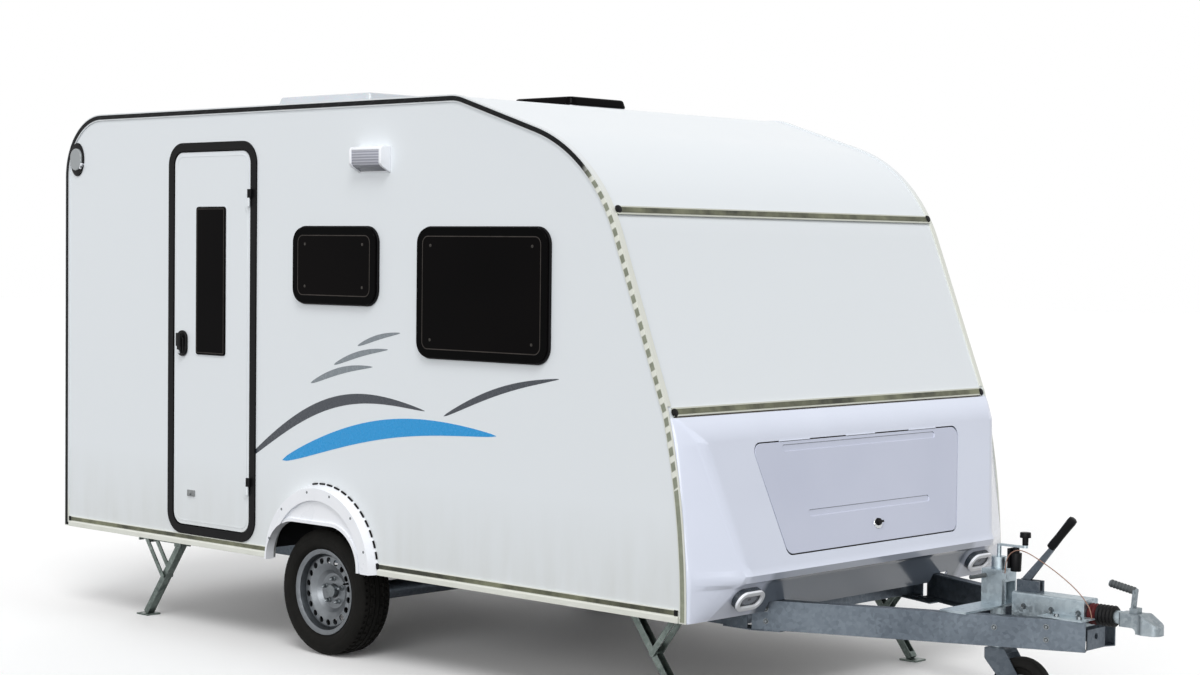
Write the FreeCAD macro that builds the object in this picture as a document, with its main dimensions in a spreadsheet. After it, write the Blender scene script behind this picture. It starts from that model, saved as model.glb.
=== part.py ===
"""A small travel caravan, parked on its jockey wheel and four corner steadies.

The frame: X forward to the coupling, Y to the left, Z up, millimetres, ground at Z = 0.
The origin is on the ground in the middle of the whole length and width.
"""
import FreeCAD, Part
import math
import os
import Sketcher
from FreeCAD import Placement, Rotation, Vector
from types import SimpleNamespace

os.makedirs("parts", exist_ok=True)
doc = FreeCAD.newDocument("caravan")

# ---------------------------------------------------------------- driving dimensions
DIMENSIONS = {
    # the body's side outline
    "fit": 0.3,
    "rear_x": -2800, "nose_x": 1390, "skirt_z": 415, "roof_z": 2500, "body_w": 2200,
    "wall_t": 30, "rear_round": 300, "ridge_x": 90, "ridge_round": 250,
    "brow_x": 889, "brow_z": 2249, "brow_round": 717,
    "upper_seam_z": 2013, "seam_x": 1288, "seam_z": 1227, "bow_z": 828, "bow_round": 3200,
    # floor and locker
    "floor_z": 455, "floor_t": 40, "locker_depth": 360, "panel_t": 20, "skin_t": 8,
    # locker lid, on the sloping face of the moulding
    "lid_top_drop": 135, "lid_low_drop": 577, "lid_top_w": 1450, "lid_low_w": 1180, "lid_round": 40,
    "lid_gap": 5, "rib_top_drop": 161, "rib_top_w": 1070, "rib_low_drop": 427, "rib_low_w": 850,
    "rib_h": 26, "rib_deep": 3.5,
    # trims
    "seam_trim_h": 36, "seam_trim_t": 8, "rail_edge": 6, "rail_face": 32, "rail_lip": 22,
    "skirt_rail_h": 52, "lamp_z": 2180, "front_lamp_in": 288, "marker_drop": 215, "carrier_z": 470,
    # side windows: rear edge, sill, width, height, corner
    "seat_window_x": -139, "seat_window_z": 1382, "seat_window_w": 794, "seat_window_h": 567,
    "galley_window_x": -972, "galley_window_z": 1596, "galley_window_w": 576,
    "galley_window_h": 354, "window_round": 75, "seal_w": 34, "seal_t": 12, "pane_t": 12,
    "rear_window_z": 1400, "rear_window_w": 1200, "rear_window_h": 520,
    # entrance door, on the right side
    "door_to_arch": 106, "door_z": 514, "door_w": 580, "door_h": 1786, "door_round": 60,
    "door_frame_w": 46, "door_frame_t": 9, "door_gap": 5, "door_t": 32,
    "door_window_x": 175, "door_window_z": 822, "door_window_w": 225, "door_window_h": 704,
    # wheel arches
    "axle_x": -810, "arch_gap": 21, "arch_head": 27, "arch_round": 180,
    "arch_flange": 68, "arch_trim_drop": 7, "arch_trim_shift": 40, "arch_trim_t": 45,
    "arch_flange_w": 72, "arch_dish": 16, "arch_lip_w": 15,
    "arch_lip": 22, "housing_t": 5, "housing_room": 65, "housing_head": 95, "housing_in": 260,
    # wheels and axle
    "rim_r": 195, "rim_w": 152, "tyre_wall": 94, "tyre_w": 185, "wheel_in": 115, "bead_step": 17,
    "vent_r": 14, "vent_in": 36, "hub_r": 33, "drum_r": 115, "stub_r": 20, "axle_r": 42,
    "arm_l": 160, "arm_in": 135, "arm_t": 36, "arm_r": 38,
    # chassis and drawbar
    "rail_y": 570, "rail_h": 120, "rail_w": 50, "rail_t": 5, "rail_rear_in": 110,
    "bar_x": 1330, "bar_tip_x": 2560, "bar_tip_y": 113,
    # overrun device and coupling
    "tube_z": 470, "tube_r": 25, "housing_x": 2190, "housing_tip_x": 2515, "housing_w": 104,
    "coupling_tip_x": 2820, "ball_r": 25, "ball_x": 2772, "ball_z": 430, "cable_r": 2,
    # jockey wheel
    "jockey_x": 2095, "jockey_r": 30, "jockey_wall": 4.6, "jockey_play": 0.4, "jockey_top_z": 650,
    "jockey_low_z": 330, "jockey_wheel_r": 130, "jockey_wheel_w": 60, "castor_trail": 120,
    # corner steadies: link is the leg's length down to the brace pin, and the brace's length
    "steady_z": 385, "steady_leg": 470, "steady_link": 215, "steady_rear_x": -2010,
    "steady_front_x": 850, "steady_rear_in": 145, "steady_front_in": 300,
    # rooflights
    "rear_light_x": -2198, "rear_light_l": 736, "rear_light_w": 476, "rear_light_rise": 130,
    "front_light_x": -498, "front_light_l": 376, "front_light_w": 376, "front_light_rise": 60,
    # door and window fittings
    "pane_in": 7, "door_pane_t": 8, "door_pane_round": 14, "handle_w": 76, "handle_h": 124, "handle_t": 14,
    "grip_w": 28, "grip_h": 80, "grip_t": 16,
    # lamps
    "awning_lamp_l": 210, "awning_lamp_t": 60, "awning_lamp_h": 120, "position_w": 160, "position_h": 88,
    "position_t": 24, "marker_in": 96, "marker_w": 92, "marker_h": 110, "marker_t": 18,
    "rear_lamp_in": 80, "rear_lamp_w": 290, "rear_lamp_h": 88, "rear_lamp_t": 16,
    "carrier_t": 34, "carrier_h": 128,
    # plates, cross members and drums
    "plate_t": 6, "cross_t": 40, "drum_face": 7, "drum_deep": 58,
    # overrun housing: a hat section over the tube, and the wing plate on the drawbar
    "hat_t": 6, "hat_over": 55, "hat_under": 50, "end_plate_t": 16, "wing_y": 150, "wing_back": 150,
    "wing_l": 196, "nose_plate_h": 80, "nose_hole_r": 12, "fold": 16, "fold_low_r": 36, "fold_high_r": 43,
    # coupling head and its handle
    "head_under": 12, "head_h": 76, "neck_y": 34, "cheek_y": 45, "riser_h": 88, "riser_t": 8,
    "riser_w": 32, "handle_r": 12,
    # handbrake
    "brake_l": 100, "brake_w": 44, "brake_h": 46, "brake_t": 12, "lever_t": 12, "lever_foot": 17,
    "lever_tip": 10, "lever_rise": 300, "lever_reach": 224, "lever_grip_r": 16,
    # jockey clamp and crank
    "clamp_beam_l": 120, "clamp_beam_y": 310, "clamp_l": 96, "clamp_in": 44, "clamp_t": 8, "clamp_h": 140,
    "clamp_block_h": 50, "eye_l": 18, "eye_h": 25, "spindle_r": 9, "spindle_h": 50, "crank_rise": 44,
    "crank_l": 120, "crank_w": 18, "crank_t": 8, "knob_neck_r": 11, "knob_neck_h": 42, "knob_r": 19,
    "knob_h": 20, "castor_pin_r": 8, "castor_hub_r": 22, "castor_boss_r": 34, "castor_web": 12,
    # steadies: bars, pins and feet
    "base_w": 68, "lug_l": 52, "lug_t": 8, "steady_pin_r": 7, "nut_l": 32, "nut_w": 34, "leg_w": 40,
    "leg_half": 16, "leg_wall": 4, "foot_l": 90, "foot_w": 80, "foot_t": 8, "brace_pin_r": 6,
    "strap_h": 26, "strap_w": 60, "strap_in": 48,
}


class Size(float):
    """A number that keeps the sheet expression it comes from."""

    def __new__(cls, value, text=""):
        size = super().__new__(cls, value)
        size.text = text or f"({float(value)!r})"
        return size

    def joined(self, other, sign, value):
        other = other if isinstance(other, Size) else Size(other)
        return Size(value, f"({self.text} {sign} {other.text})")

    def __add__(self, other):
        return self.joined(other, "+", float(self) + float(other))

    def __sub__(self, other):
        return self.joined(other, "-", float(self) - float(other))

    def __mul__(self, other):
        return self.joined(other, "*", float(self) * float(other))

    def __truediv__(self, other):
        return self.joined(other, "/", float(self) / float(other))

    def __neg__(self):
        return self * -1

    def __radd__(self, other):
        return Size(other) + self

    def __rsub__(self, other):
        return Size(other) - self

    def __rmul__(self, other):
        return Size(other) * self


def text_of(size):
    return size.text if isinstance(size, Size) else f"({float(size)!r})"


def arctan(ratio):
    """The angle in degrees of a slope given as a Size."""
    return Size(math.degrees(math.atan(ratio)), f"(atan({ratio.text}) / 1 deg)")


def cosine(angle):
    return Size(math.cos(math.radians(angle)), f"cos({angle.text})")


def root(size):
    return Size(math.sqrt(size), f"sqrt({size.text})")


def sine(angle):
    return Size(math.sin(math.radians(angle)), f"sin({angle.text})")


sheet = doc.addObject("Spreadsheet::Sheet", "dims")
for row, (alias, number) in enumerate(DIMENSIONS.items(), 1):
    sheet.set(f"A{row}", alias)
    sheet.set(f"B{row}", str(number))
    sheet.setAlias(f"B{row}", alias)
doc.recompute()
d = SimpleNamespace(**{alias: Size(number, f"dims.{alias}") for alias, number in DIMENSIONS.items()})
NODES = []

# ---------------------------------------------------------------- sizes worked out from them
side_y = d.body_w / 2
tyre_r = d.rim_r + d.tyre_wall
bead_r = d.rim_r - d.bead_step
wheel_y = side_y - d.wheel_in
arm_y = wheel_y - d.arm_in
arch_half = tyre_r + d.arch_gap
arch_top_z = tyre_r * 2 + d.arch_head
arch_trim_r = arch_half + d.arch_flange
trim_x = d.axle_x + d.arch_trim_shift
trim_z = d.skirt_z - d.arch_trim_drop
housing_half = arch_half + d.housing_room
housing_top_z = arch_top_z + d.housing_head
door_x = trim_x - arch_trim_r - d.door_to_arch - d.door_frame_w - d.door_w
rail_rear_x = d.rear_x + d.rail_rear_in
jockey_inner_r = d.jockey_r - d.jockey_wall - d.jockey_play


# ---------------------------------------------------------------- how pieces are drawn
def bind(thing, prop, size):
    """Tie a property to the sheet."""
    thing.setExpression(prop, text_of(size))


def place(thing, x=0.0, y=0.0, z=0.0, axis=None, angle=0.0):
    """Put an object at a point, turned about an axis through it."""
    if axis is not None:
        thing.Placement = Placement(Vector(0, 0, 0), Rotation(Vector(*axis), float(angle)))
    for name, size in (("x", x), ("y", y), ("z", z)):
        bind(thing, f"Placement.Base.{name}", size)
    return thing


def node(thing, name):
    """Name a finished sub-part."""
    thing.Label = name
    NODES.append(thing)
    return thing


def piece(name):
    """An empty body for a piece of a sub-part."""
    return doc.addObject("PartDesign::Body", name)


def body(name):
    """An empty body for one sub-part."""
    return node(piece(name), name)


def plane_of(owner, role):
    return next(item for item in owner.Origin.OriginFeatures if item.Role == role)


# sketches on the XZ plane have their normal along -Y
FACING = {"XY_Plane": 1, "YZ_Plane": 1, "XZ_Plane": -1}


def sketch_on(owner, role, at=0.0):
    """A sketch of this body, `at` along the world axis across its plane."""
    sketch = owner.newObject("Sketcher::SketchObject", f"{owner.Name}_sketch")
    sketch.AttachmentSupport = [(plane_of(owner, role), "")]
    sketch.MapMode = "FlatFace"
    bind(sketch, "AttachmentOffset.Base.z", FACING[role] * Size(at) if not isinstance(at, Size)
         else at * FACING[role])
    return sketch


def constrain(sketch, size, *rule):
    """Add a constraint whose value is tied to the sheet."""
    index = sketch.addConstraint(Sketcher.Constraint(*rule, float(size)))
    bind(sketch, f"Constraints[{index}]", size)


def outline(sketch, corners):
    """A closed outline through (across, up, round) corners; a round of 0 leaves it sharp."""
    points = [Vector(float(x), float(y), 0) for x, y, _ in corners]
    count = len(corners)
    ends = []
    for i, (point, (_, _, radius)) in enumerate(zip(points, corners)):
        back = (points[i - 1] - point).normalize()
        ahead = (points[(i + 1) % count] - point).normalize()
        half = back.getAngle(ahead) / 2
        reach = float(radius) / math.tan(half)
        ends.append((point + back * reach, point + ahead * reach, half, back, ahead))
    lines = [sketch.addGeometry(Part.LineSegment(ends[i][1], ends[(i + 1) % count][0]))
             for i in range(count)]
    for i, (x, y, radius) in enumerate(corners):
        before, after = lines[i - 1], lines[i]
        if float(radius) == 0:
            sketch.addConstraint(Sketcher.Constraint("Coincident", before, 2, after, 1))
            constrain(sketch, x, "DistanceX", -1, 1, after, 1)
            constrain(sketch, y, "DistanceY", -1, 1, after, 1)
            continue
        start, end, half, back, ahead = ends[i]
        centre = points[i] + (back + ahead).normalize() * (float(radius) / math.sin(half))
        middle = centre + (points[i] - centre).normalize() * float(radius)
        arc = sketch.addGeometry(Part.Arc(start, middle, end))
        turned = (middle - start).cross(end - middle).z < 0
        first, last = (2, 1) if turned else (1, 2)
        mark = sketch.addGeometry(Part.Point(points[i]), True)
        sketch.addConstraint(Sketcher.Constraint("Tangent", before, 2, arc, first))
        sketch.addConstraint(Sketcher.Constraint("Tangent", arc, last, after, 1))
        sketch.addConstraint(Sketcher.Constraint("PointOnObject", mark, 1, before))
        sketch.addConstraint(Sketcher.Constraint("PointOnObject", mark, 1, after))
        constrain(sketch, radius, "Radius", arc)
        constrain(sketch, x, "DistanceX", -1, 1, mark, 1)
        constrain(sketch, y, "DistanceY", -1, 1, mark, 1)
    return sketch


def box_outline(sketch, left, low, width, height, radius=0.0):
    """A rectangle with round corners."""
    return outline(sketch, [(left, low, radius), (left + width, low, radius),
                            (left + width, low + height, radius), (left, low + height, radius)])


def circle(sketch, x, y, radius):
    index = sketch.addGeometry(Part.Circle(Vector(float(x), float(y), 0), Vector(0, 0, 1), float(radius)))
    constrain(sketch, radius, "Radius", index)
    constrain(sketch, x, "DistanceX", -1, 1, index, 3)
    constrain(sketch, y, "DistanceY", -1, 1, index, 3)
    return sketch


def feature(sketch, kind, length, way):
    """A pad or pocket of a sketch: way is 1 or -1 along the world axis, or 0 for both."""
    owner = sketch.getParentGeoFeatureGroup()
    made = owner.newObject(f"PartDesign::{kind}", f"{sketch.Name}_{kind}")
    made.Profile = sketch
    bind(made, "Length", length)
    role = sketch.AttachmentSupport[0][0].Role
    along = way * FACING[role] * (1 if kind == "Pad" else -1)
    made.Midplane = way == 0
    made.Reversed = along < 0
    return made


def pad(sketch, length, way=1):
    return feature(sketch, "Pad", length, way)


def pocket(sketch, length, way=1):
    return feature(sketch, "Pocket", length, way)


def revolve(sketch, axis="H_Axis"):
    """A full turn of a sketch about one of its own axes."""
    owner = sketch.getParentGeoFeatureGroup()
    made = owner.newObject("PartDesign::Revolution", f"{sketch.Name}_turned")
    made.Profile = sketch
    made.ReferenceAxis = (sketch, [axis])
    made.Angle = 360
    return made


def mirrored(owner, *features, role="XZ_Plane"):
    """The same features again on the other side of a plane."""
    made = owner.newObject("PartDesign::Mirrored", f"{owner.Name}_mirrored")
    made.Originals = list(features)
    made.MirrorPlane = (plane_of(owner, role), [""])
    owner.Tip = made
    return made


def around(owner, feature_made, count, role="Y_Axis"):
    """A feature repeated round one of the body's axes."""
    made = owner.newObject("PartDesign::PolarPattern", f"{owner.Name}_ring")
    made.Originals = [feature_made]
    made.Axis = (plane_of(owner, role), [""])
    made.Angle = 360
    made.Occurrences = count
    owner.Tip = made
    return made


def block(x, y, z, length, width, height, name="block"):
    """A box from its low corner."""
    made = doc.addObject("Part::Box", name)
    for prop, size in (("Length", length), ("Width", width), ("Height", height)):
        bind(made, prop, size)
    return place(made, x, y, z)


def rod(x, y, z, radius, length, axis="Z", name="rod"):
    """A cylinder from the centre of its low end, along a world axis."""
    made = doc.addObject("Part::Cylinder", name)
    bind(made, "Radius", radius)
    bind(made, "Height", length)
    turns = {"Z": ((0, 0, 1), 0), "X": ((0, 1, 0), 90), "Y": ((1, 0, 0), -90)}
    return place(made, x, y, z, *turns[axis])


def fused(*parts, name="fused"):
    made = doc.addObject("Part::MultiFuse", name)
    made.Shapes = list(parts)
    return made


def cut(base, *tools, name="cut"):
    for tool in tools:
        made = doc.addObject("Part::Cut", name)
        made.Base = base
        made.Tool = tool
        base = made
    return base


# ---------------------------------------------------------------- body panels
def side_outline(inset=0):
    """The corners of the body seen from the side."""
    return [(d.rear_x, d.skirt_z, 0), (d.nose_x, d.skirt_z, 0), (d.nose_x, d.bow_z, d.bow_round),
            (d.seam_x, d.seam_z, 0), (d.brow_x, d.brow_z, d.brow_round),
            (d.ridge_x, d.roof_z, d.ridge_round), (d.rear_x, d.roof_z, d.rear_round)]


WINDOWS = {  # name: rear edge, sill, width, height
    "seat": (d.seat_window_x, d.seat_window_z, d.seat_window_w, d.seat_window_h),
    "galley": (d.galley_window_x, d.galley_window_z, d.galley_window_w, d.galley_window_h)}
inner_w = d.body_w - d.wall_t * 2


def inset_box(sketch, x, z, w, tall, radius, inset):
    """A rounded rectangle moved in by an inset all round."""
    return box_outline(sketch, x + inset, z + inset, w - inset * 2, tall - inset * 2, radius - inset)


def arch_opening(sketch, grow=0.0):
    """The round-shouldered opening over the wheel, grown all round."""
    grow = Size(grow)
    low = d.skirt_z - 100
    return outline(sketch, [
        (d.axle_x - arch_half - grow, low, 0), (d.axle_x + arch_half + grow, low, 0),
        (d.axle_x + arch_half + grow, arch_top_z + grow, d.arch_round + grow),
        (d.axle_x - arch_half - grow, arch_top_z + grow, d.arch_round + grow)])


def side_wall(side, y_sign):
    wall = body(f"side_wall_{side}")
    face = side_y * y_sign
    inwards = -y_sign
    pad(outline(sketch_on(wall, "XZ_Plane", face), side_outline()), d.wall_t, inwards)
    for x, z, w, tall in WINDOWS.values():
        pocket(inset_box(sketch_on(wall, "XZ_Plane", face), x, z, w, tall, d.window_round, d.seal_w / 2),
               d.wall_t, inwards)
    pocket(arch_opening(sketch_on(wall, "XZ_Plane", face), d.arch_lip), d.wall_t, inwards)
    if side == "right":
        pocket(inset_box(sketch_on(wall, "XZ_Plane", face), door_x, d.door_z, d.door_w, d.door_h,
                         d.door_round, -d.door_frame_w / 2), d.wall_t, inwards)
    return wall


for side, y_sign in (("right", -1), ("left", 1)):
    side_wall(side, y_sign)

profile = doc.addObject("Sketcher::SketchObject", "side_profile")
profile.Placement = Placement(Vector(0, 0, 0), Rotation(Vector(1, 0, 0), 90))
outline(profile, side_outline())
doc.recompute()
inner_profile = doc.addObject("Part::Offset2D", "inner_profile")
inner_profile.Source = profile
inner_profile.Join = "Intersection"
bind(inner_profile, "Value", -d.wall_t)


def across(source, width, name):
    """A side profile drawn out across the body, centred."""
    made = doc.addObject("Part::Extrusion", name)
    made.Base = source
    made.DirMode = "Custom"
    made.Dir = Vector(0, 1, 0)
    made.Solid = True
    made.Symmetric = True
    bind(made, "LengthFwd", width)
    return made


hull = cut(across(profile, inner_w, "hull_outer"), across(inner_profile, inner_w + 2, "hull_inner"),
           name="hull")


def part_of_hull(name, *boxes):
    made = doc.addObject("Part::Common", name)
    made.Base = hull
    made.Tool = boxes[0] if len(boxes) == 1 else fused(*boxes)
    return made


rear_split_z = d.roof_z - d.rear_round
far = 200
rear_panel = part_of_hull(
    "rear_panel", block(d.rear_x - far, -side_y, d.floor_z, far + d.wall_t, d.body_w,
                        rear_split_z - d.floor_z))
rear_hole = piece("rear_window_hole")
pad(inset_box(sketch_on(rear_hole, "YZ_Plane", d.rear_x - far), -d.rear_window_w / 2, d.rear_window_z,
              d.rear_window_w, d.rear_window_h, d.window_round, d.seal_w / 2), Size(2 * far), 1)
node(cut(rear_panel, rear_hole), "rear_wall")
roof_panel = part_of_hull(
    "roof_sheet",
    block(d.rear_x - far, -side_y, rear_split_z, d.ridge_x - d.rear_x + far, d.body_w, d.rear_round + far),
    block(d.ridge_x, -side_y, d.upper_seam_z, d.nose_x - d.ridge_x, d.body_w,
          d.roof_z - d.upper_seam_z + far))
ROOFLIGHTS = {  # name: rear edge, length, width, rise
    "rear": (d.rear_light_x, d.rear_light_l, d.rear_light_w, d.rear_light_rise),
    "front": (d.front_light_x, d.front_light_l, d.front_light_w, d.front_light_rise)}
roof_rim = 30
holes = [block(x + roof_rim, -w / 2 + roof_rim, d.roof_z - far, length - 2 * roof_rim,
               w - 2 * roof_rim, Size(2 * far)) for x, length, w, _ in ROOFLIGHTS.values()]
node(cut(roof_panel, *holes), "roof_panel")
node(part_of_hull("front_wall", block(d.brow_x - 400, -side_y, d.seam_z, Size(2000), d.body_w,
                                      d.upper_seam_z - d.seam_z)), "front_wall")
bulkhead_x = d.seam_x - d.locker_depth
floor_top = d.floor_z + d.floor_t

# the floor, cut away over the wheels
floor_front = d.nose_x - 30
arch_cut_half = housing_half + d.fit
floor = block(d.rear_x + d.wall_t, -inner_w / 2, d.floor_z, floor_front - d.rear_x - d.wall_t, inner_w,
              d.floor_t)
floor_cuts = [block(d.axle_x - arch_cut_half, y, d.floor_z - 10, arch_cut_half * 2,
                    d.housing_in + d.fit, Size(300))
              for y in (-inner_w / 2 - d.fit, inner_w / 2 - d.housing_in)]
node(cut(floor, *floor_cuts), "floor_panel")

# the locker's bulkhead and its shelf, set back behind the lower seam
locker = body("locker_bulkhead")
pad(outline(sketch_on(locker, "XZ_Plane"), [
    (bulkhead_x - d.panel_t, floor_top, 0), (bulkhead_x, floor_top, 0),
    (bulkhead_x, d.seam_z - d.panel_t, 0), (d.seam_x - 2, d.seam_z - d.panel_t, 0),
    (d.seam_x - 2, d.seam_z, 0), (bulkhead_x - d.panel_t, d.seam_z, 0)]), inner_w, 0)

# the moulded locker front: level sections down from the seam, each with its face's place ahead
# of the nose, its corner's distance in from the body's side, and the corner's and side's rounds
MOULDING = [  # drop, ahead, corner_in, corner_round, side_round
    (20, -75, 20, 20, 6), (45, -50, 36, 40, 16), (117, 10, 88, 90, 30), (611, 110, 238, 120, 30),
    (639, 122, 238, 120, 30), (667, 112, 232, 120, 30), (687, 84, 216, 120, 30),
    (d.seam_z - d.skirt_z, 12, 115, 60, 20)]
bow_tangent = d.bow_round * Size(math.tan(math.atan((d.nose_x - d.seam_x) / (d.seam_z - d.bow_z)) / 2))
bow_centre_z = d.bow_z - bow_tangent


def outline_x(z):
    """How far forward the body's outline reaches at a height under the seam."""
    rise = z - bow_centre_z
    return d.nose_x - d.bow_round + root(d.bow_round * d.bow_round - rise * rise)


def moulding_section(owner, drop, ahead, corner_in, corner_round, side_round, inset=0.0):
    """One level section of the moulding, from behind the body's outline to its face."""
    z = d.seam_z - drop
    behind = d.seam_x - 150
    edge = side_y - (d.wall_t if inset else 0)
    side_x = outline_x(z) + 10 - inset
    face_x = d.nose_x + ahead - inset
    corner = side_y - corner_in - inset
    return outline(sketch_on(owner, "XY_Plane", z), [
        (behind, -edge, 0), (side_x, -edge, side_round), (face_x, -corner, corner_round),
        (face_x, corner, corner_round), (side_x, edge, side_round), (behind, edge, 0)])


def loft(owner, kind, sections):
    made = owner.newObject(f"PartDesign::{kind}", f"{owner.Name}_{kind}")
    made.Profile = sections[0]
    made.Sections = sections[1:]
    made.Ruled = True
    return made


def sloped_sketch(owner):
    """A sketch on the moulding's sloping face: across is Y, up runs up the slope."""
    sketch = owner.newObject("Sketcher::SketchObject", f"{owner.Name}_face")
    sketch.AttachmentSupport = [(plane_of(owner, "YZ_Plane"), "")]
    sketch.MapMode = "FlatFace"
    sketch.AttachmentOffset = Placement(Vector(0, 0, 0), Rotation(Vector(1, 0, 0), -float(face_lean)))
    bind(sketch, "AttachmentOffset.Base.y", face_top_z)
    bind(sketch, "AttachmentOffset.Base.z", face_top_x)
    bind(sketch, "AttachmentOffset.Rotation.Angle", -face_lean)
    return sketch


def lid_outline(sketch, grow=0.0):
    """The lid's tapering outline, grown all round."""
    slant = cosine(face_lean)
    high = -(d.lid_top_drop - MOULDING[2][0]) / slant + grow
    low = -(d.lid_low_drop - MOULDING[2][0]) / slant - grow
    wide = d.lid_top_w / 2 + grow
    narrow = d.lid_low_w / 2 + grow
    return outline(sketch, [(-narrow, low, d.lid_round), (narrow, low, d.lid_round),
                            (wide, high, d.lid_round), (-wide, high, d.lid_round)])


face_top_z = d.seam_z - MOULDING[2][0]
face_top_x = d.nose_x + MOULDING[2][1]
face_lean = arctan(Size(MOULDING[3][1] - MOULDING[2][1]) / (MOULDING[3][0] - MOULDING[2][0]))
hinge_r = d.lid_gap / 2 + 0.1
moulding = body("front_moulding")
loft(moulding, "AdditiveLoft", [moulding_section(moulding, *row) for row in MOULDING])
hollow_rows = MOULDING[:-1] + [(d.seam_z - d.skirt_z - d.skin_t, 16, 121, 60, 20)]
hollow_rows[0] = (20 + d.skin_t, -67, 25, 20, 6)
loft(moulding, "SubtractiveLoft", [moulding_section(moulding, *row, inset=d.skin_t) for row in hollow_rows])
pocket(outline(sketch_on(moulding, "XZ_Plane"), side_outline()), d.body_w + 20, 0)
pocket(lid_outline(sloped_sketch(moulding), d.lid_gap), Size(60), 0)
for y_sign in (-1, 1):  # notches for the drawbar beams
    notch_y = d.rail_y - 48 if y_sign > 0 else -d.rail_y - d.rail_w - 10
    pocket(box_outline(sketch_on(moulding, "YZ_Plane", d.seam_x), notch_y, d.skirt_z - 20, d.rail_w + 58,
                       d.floor_z - d.skirt_z + 22), Size(300), 1)
# the lid's hinge: three rods in the gap over it, each joined to the edge above
lid_slant = cosine(face_lean)
hinge_up = -(d.lid_top_drop - MOULDING[2][0]) / lid_slant + d.lid_gap - hinge_r + 0.5
hinge_x = face_top_x - hinge_up * sine(face_lean)
hinge_z = face_top_z + hinge_up * lid_slant
for y in (-550, -100, 350):
    pad(circle(sketch_on(moulding, "XZ_Plane", Size(y)), hinge_x, hinge_z, hinge_r), Size(200), 1)
lid = body("locker_lid")
pad(lid_outline(sloped_sketch(lid)), d.skin_t, -1)
for rib_drop, rib_w in ((d.rib_top_drop, d.rib_top_w), (d.rib_low_drop, d.rib_low_w)):
    rib_up = -(rib_drop - MOULDING[2][0]) / lid_slant
    pocket(box_outline(sloped_sketch(lid), -rib_w / 2, rib_up - d.rib_h / 2, rib_w, d.rib_h, d.rib_h / 2 - 1),
           d.rib_deep, -1)

# ---------------------------------------------------------------- seams and rails
front_lean = arctan((d.seam_x - d.brow_x) / (d.brow_z - d.seam_z))
upper_seam_x = d.seam_x - (d.upper_seam_z - d.seam_z) * (d.seam_x - d.brow_x) / (d.brow_z - d.seam_z)


def seam_trim(x, z):
    """A flat aluminium cover across one seam of the front."""
    half = d.seam_trim_h / 2
    strip = block(x + d.fit + half * sine(front_lean), -side_y + d.rail_lip, z - half * cosine(front_lean),
                  d.seam_trim_t, d.body_w - d.rail_lip * 2, d.seam_trim_h)
    return turned(strip, (0, 1, 0), -front_lean)


def turned(thing, axis, angle):
    """Turn an object about an axis through its own origin."""
    thing.Placement = Placement(thing.Placement.Base, Rotation(Vector(*axis), float(angle)))
    bind(thing, "Placement.Rotation.Angle", angle if axis[1] >= 0 else -angle)
    return thing


node(fused(seam_trim(upper_seam_x, d.upper_seam_z), seam_trim(d.seam_x, d.seam_z)), "seam_trims")


def profile_offset(size, name):
    made = doc.addObject("Part::Offset2D", name)
    made.Source = profile
    made.Join = "Intersection"
    bind(made, "Value", size)
    return made


def ring_between(outer, inner, y, thick, name):
    """A band that follows the body's outline between two offsets of it."""
    bands = []
    for offset in (outer, inner):
        made = doc.addObject("Part::Extrusion", f"{name}_band")
        made.Base = offset
        made.DirMode = "Custom"
        made.Dir = Vector(0, 1, 0)
        made.Solid = True
        bind(made, "LengthFwd", thick)
        bands.append(place(made, 0, y, 0))
    return cut(*bands)


rail_outer = profile_offset(d.rail_edge, "rail_outer")
rail_inner = profile_offset(d.rail_edge - d.rail_face, "rail_inner")
rails = []
for y_sign in (-1, 1):
    low_y = side_y if y_sign > 0 else -side_y - d.rail_edge
    lip_y = side_y - d.rail_lip if y_sign > 0 else -side_y
    face = ring_between(rail_outer, rail_inner, low_y, d.rail_edge, "awning_rail")
    lip = cut(ring_between(rail_outer, profile, lip_y, d.rail_lip, "awning_lip"),
              block(d.seam_x - 300, -side_y - 50, Size(0), Size(900), d.body_w + 100, d.seam_z + 24))
    clear = block(d.rear_x + d.rail_face, -side_y - 50, Size(0), d.nose_x - d.rear_x - d.rail_face * 2 + 4,
                  d.body_w + 100, d.skirt_z + d.skirt_rail_h)
    under = block(d.rear_x - 50, -side_y - 50, Size(0), d.nose_x - d.rear_x + 100, d.body_w + 100, d.skirt_z)
    rails.append(cut(fused(face, lip), clear, under))
node(fused(*rails), "awning_rails")

skirt = body("skirt_rails")
lip_t = d.rail_edge + 5
skirt_spans = [(d.rear_x + d.rail_face + 2, trim_x - arch_trim_r - 2),
               (trim_x + arch_trim_r + 2, d.nose_x - d.rail_face)]
skirt_pads = []
for start, end in skirt_spans:
    section = outline(sketch_on(skirt, "YZ_Plane", start), [
        (side_y, d.skirt_z, 0), (side_y + lip_t, d.skirt_z, 0), (side_y + lip_t, d.skirt_z + 22, 0),
        (side_y + d.rail_edge, d.skirt_z + 26, 0), (side_y + d.rail_edge, d.skirt_z + d.skirt_rail_h, 0),
        (side_y, d.skirt_z + d.skirt_rail_h, 0)])
    skirt_pads.append(pad(section, end - start, 1))
mirrored(skirt, *skirt_pads)

# ---------------------------------------------------------------- windows
outside = {"right": -1, "left": 1}


def window_ring(owner, at, way, x, z, w, tall, outer, inner, thick):
    """A frame between two insets of a window's outline, on a plane along Y."""
    pad(inset_box(sketch_on(owner, "XZ_Plane", at), x, z, w, tall, d.window_round, outer), thick, way)
    pocket(inset_box(sketch_on(owner, "XZ_Plane", at), x, z, w, tall, d.window_round, inner), thick, way)


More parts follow.
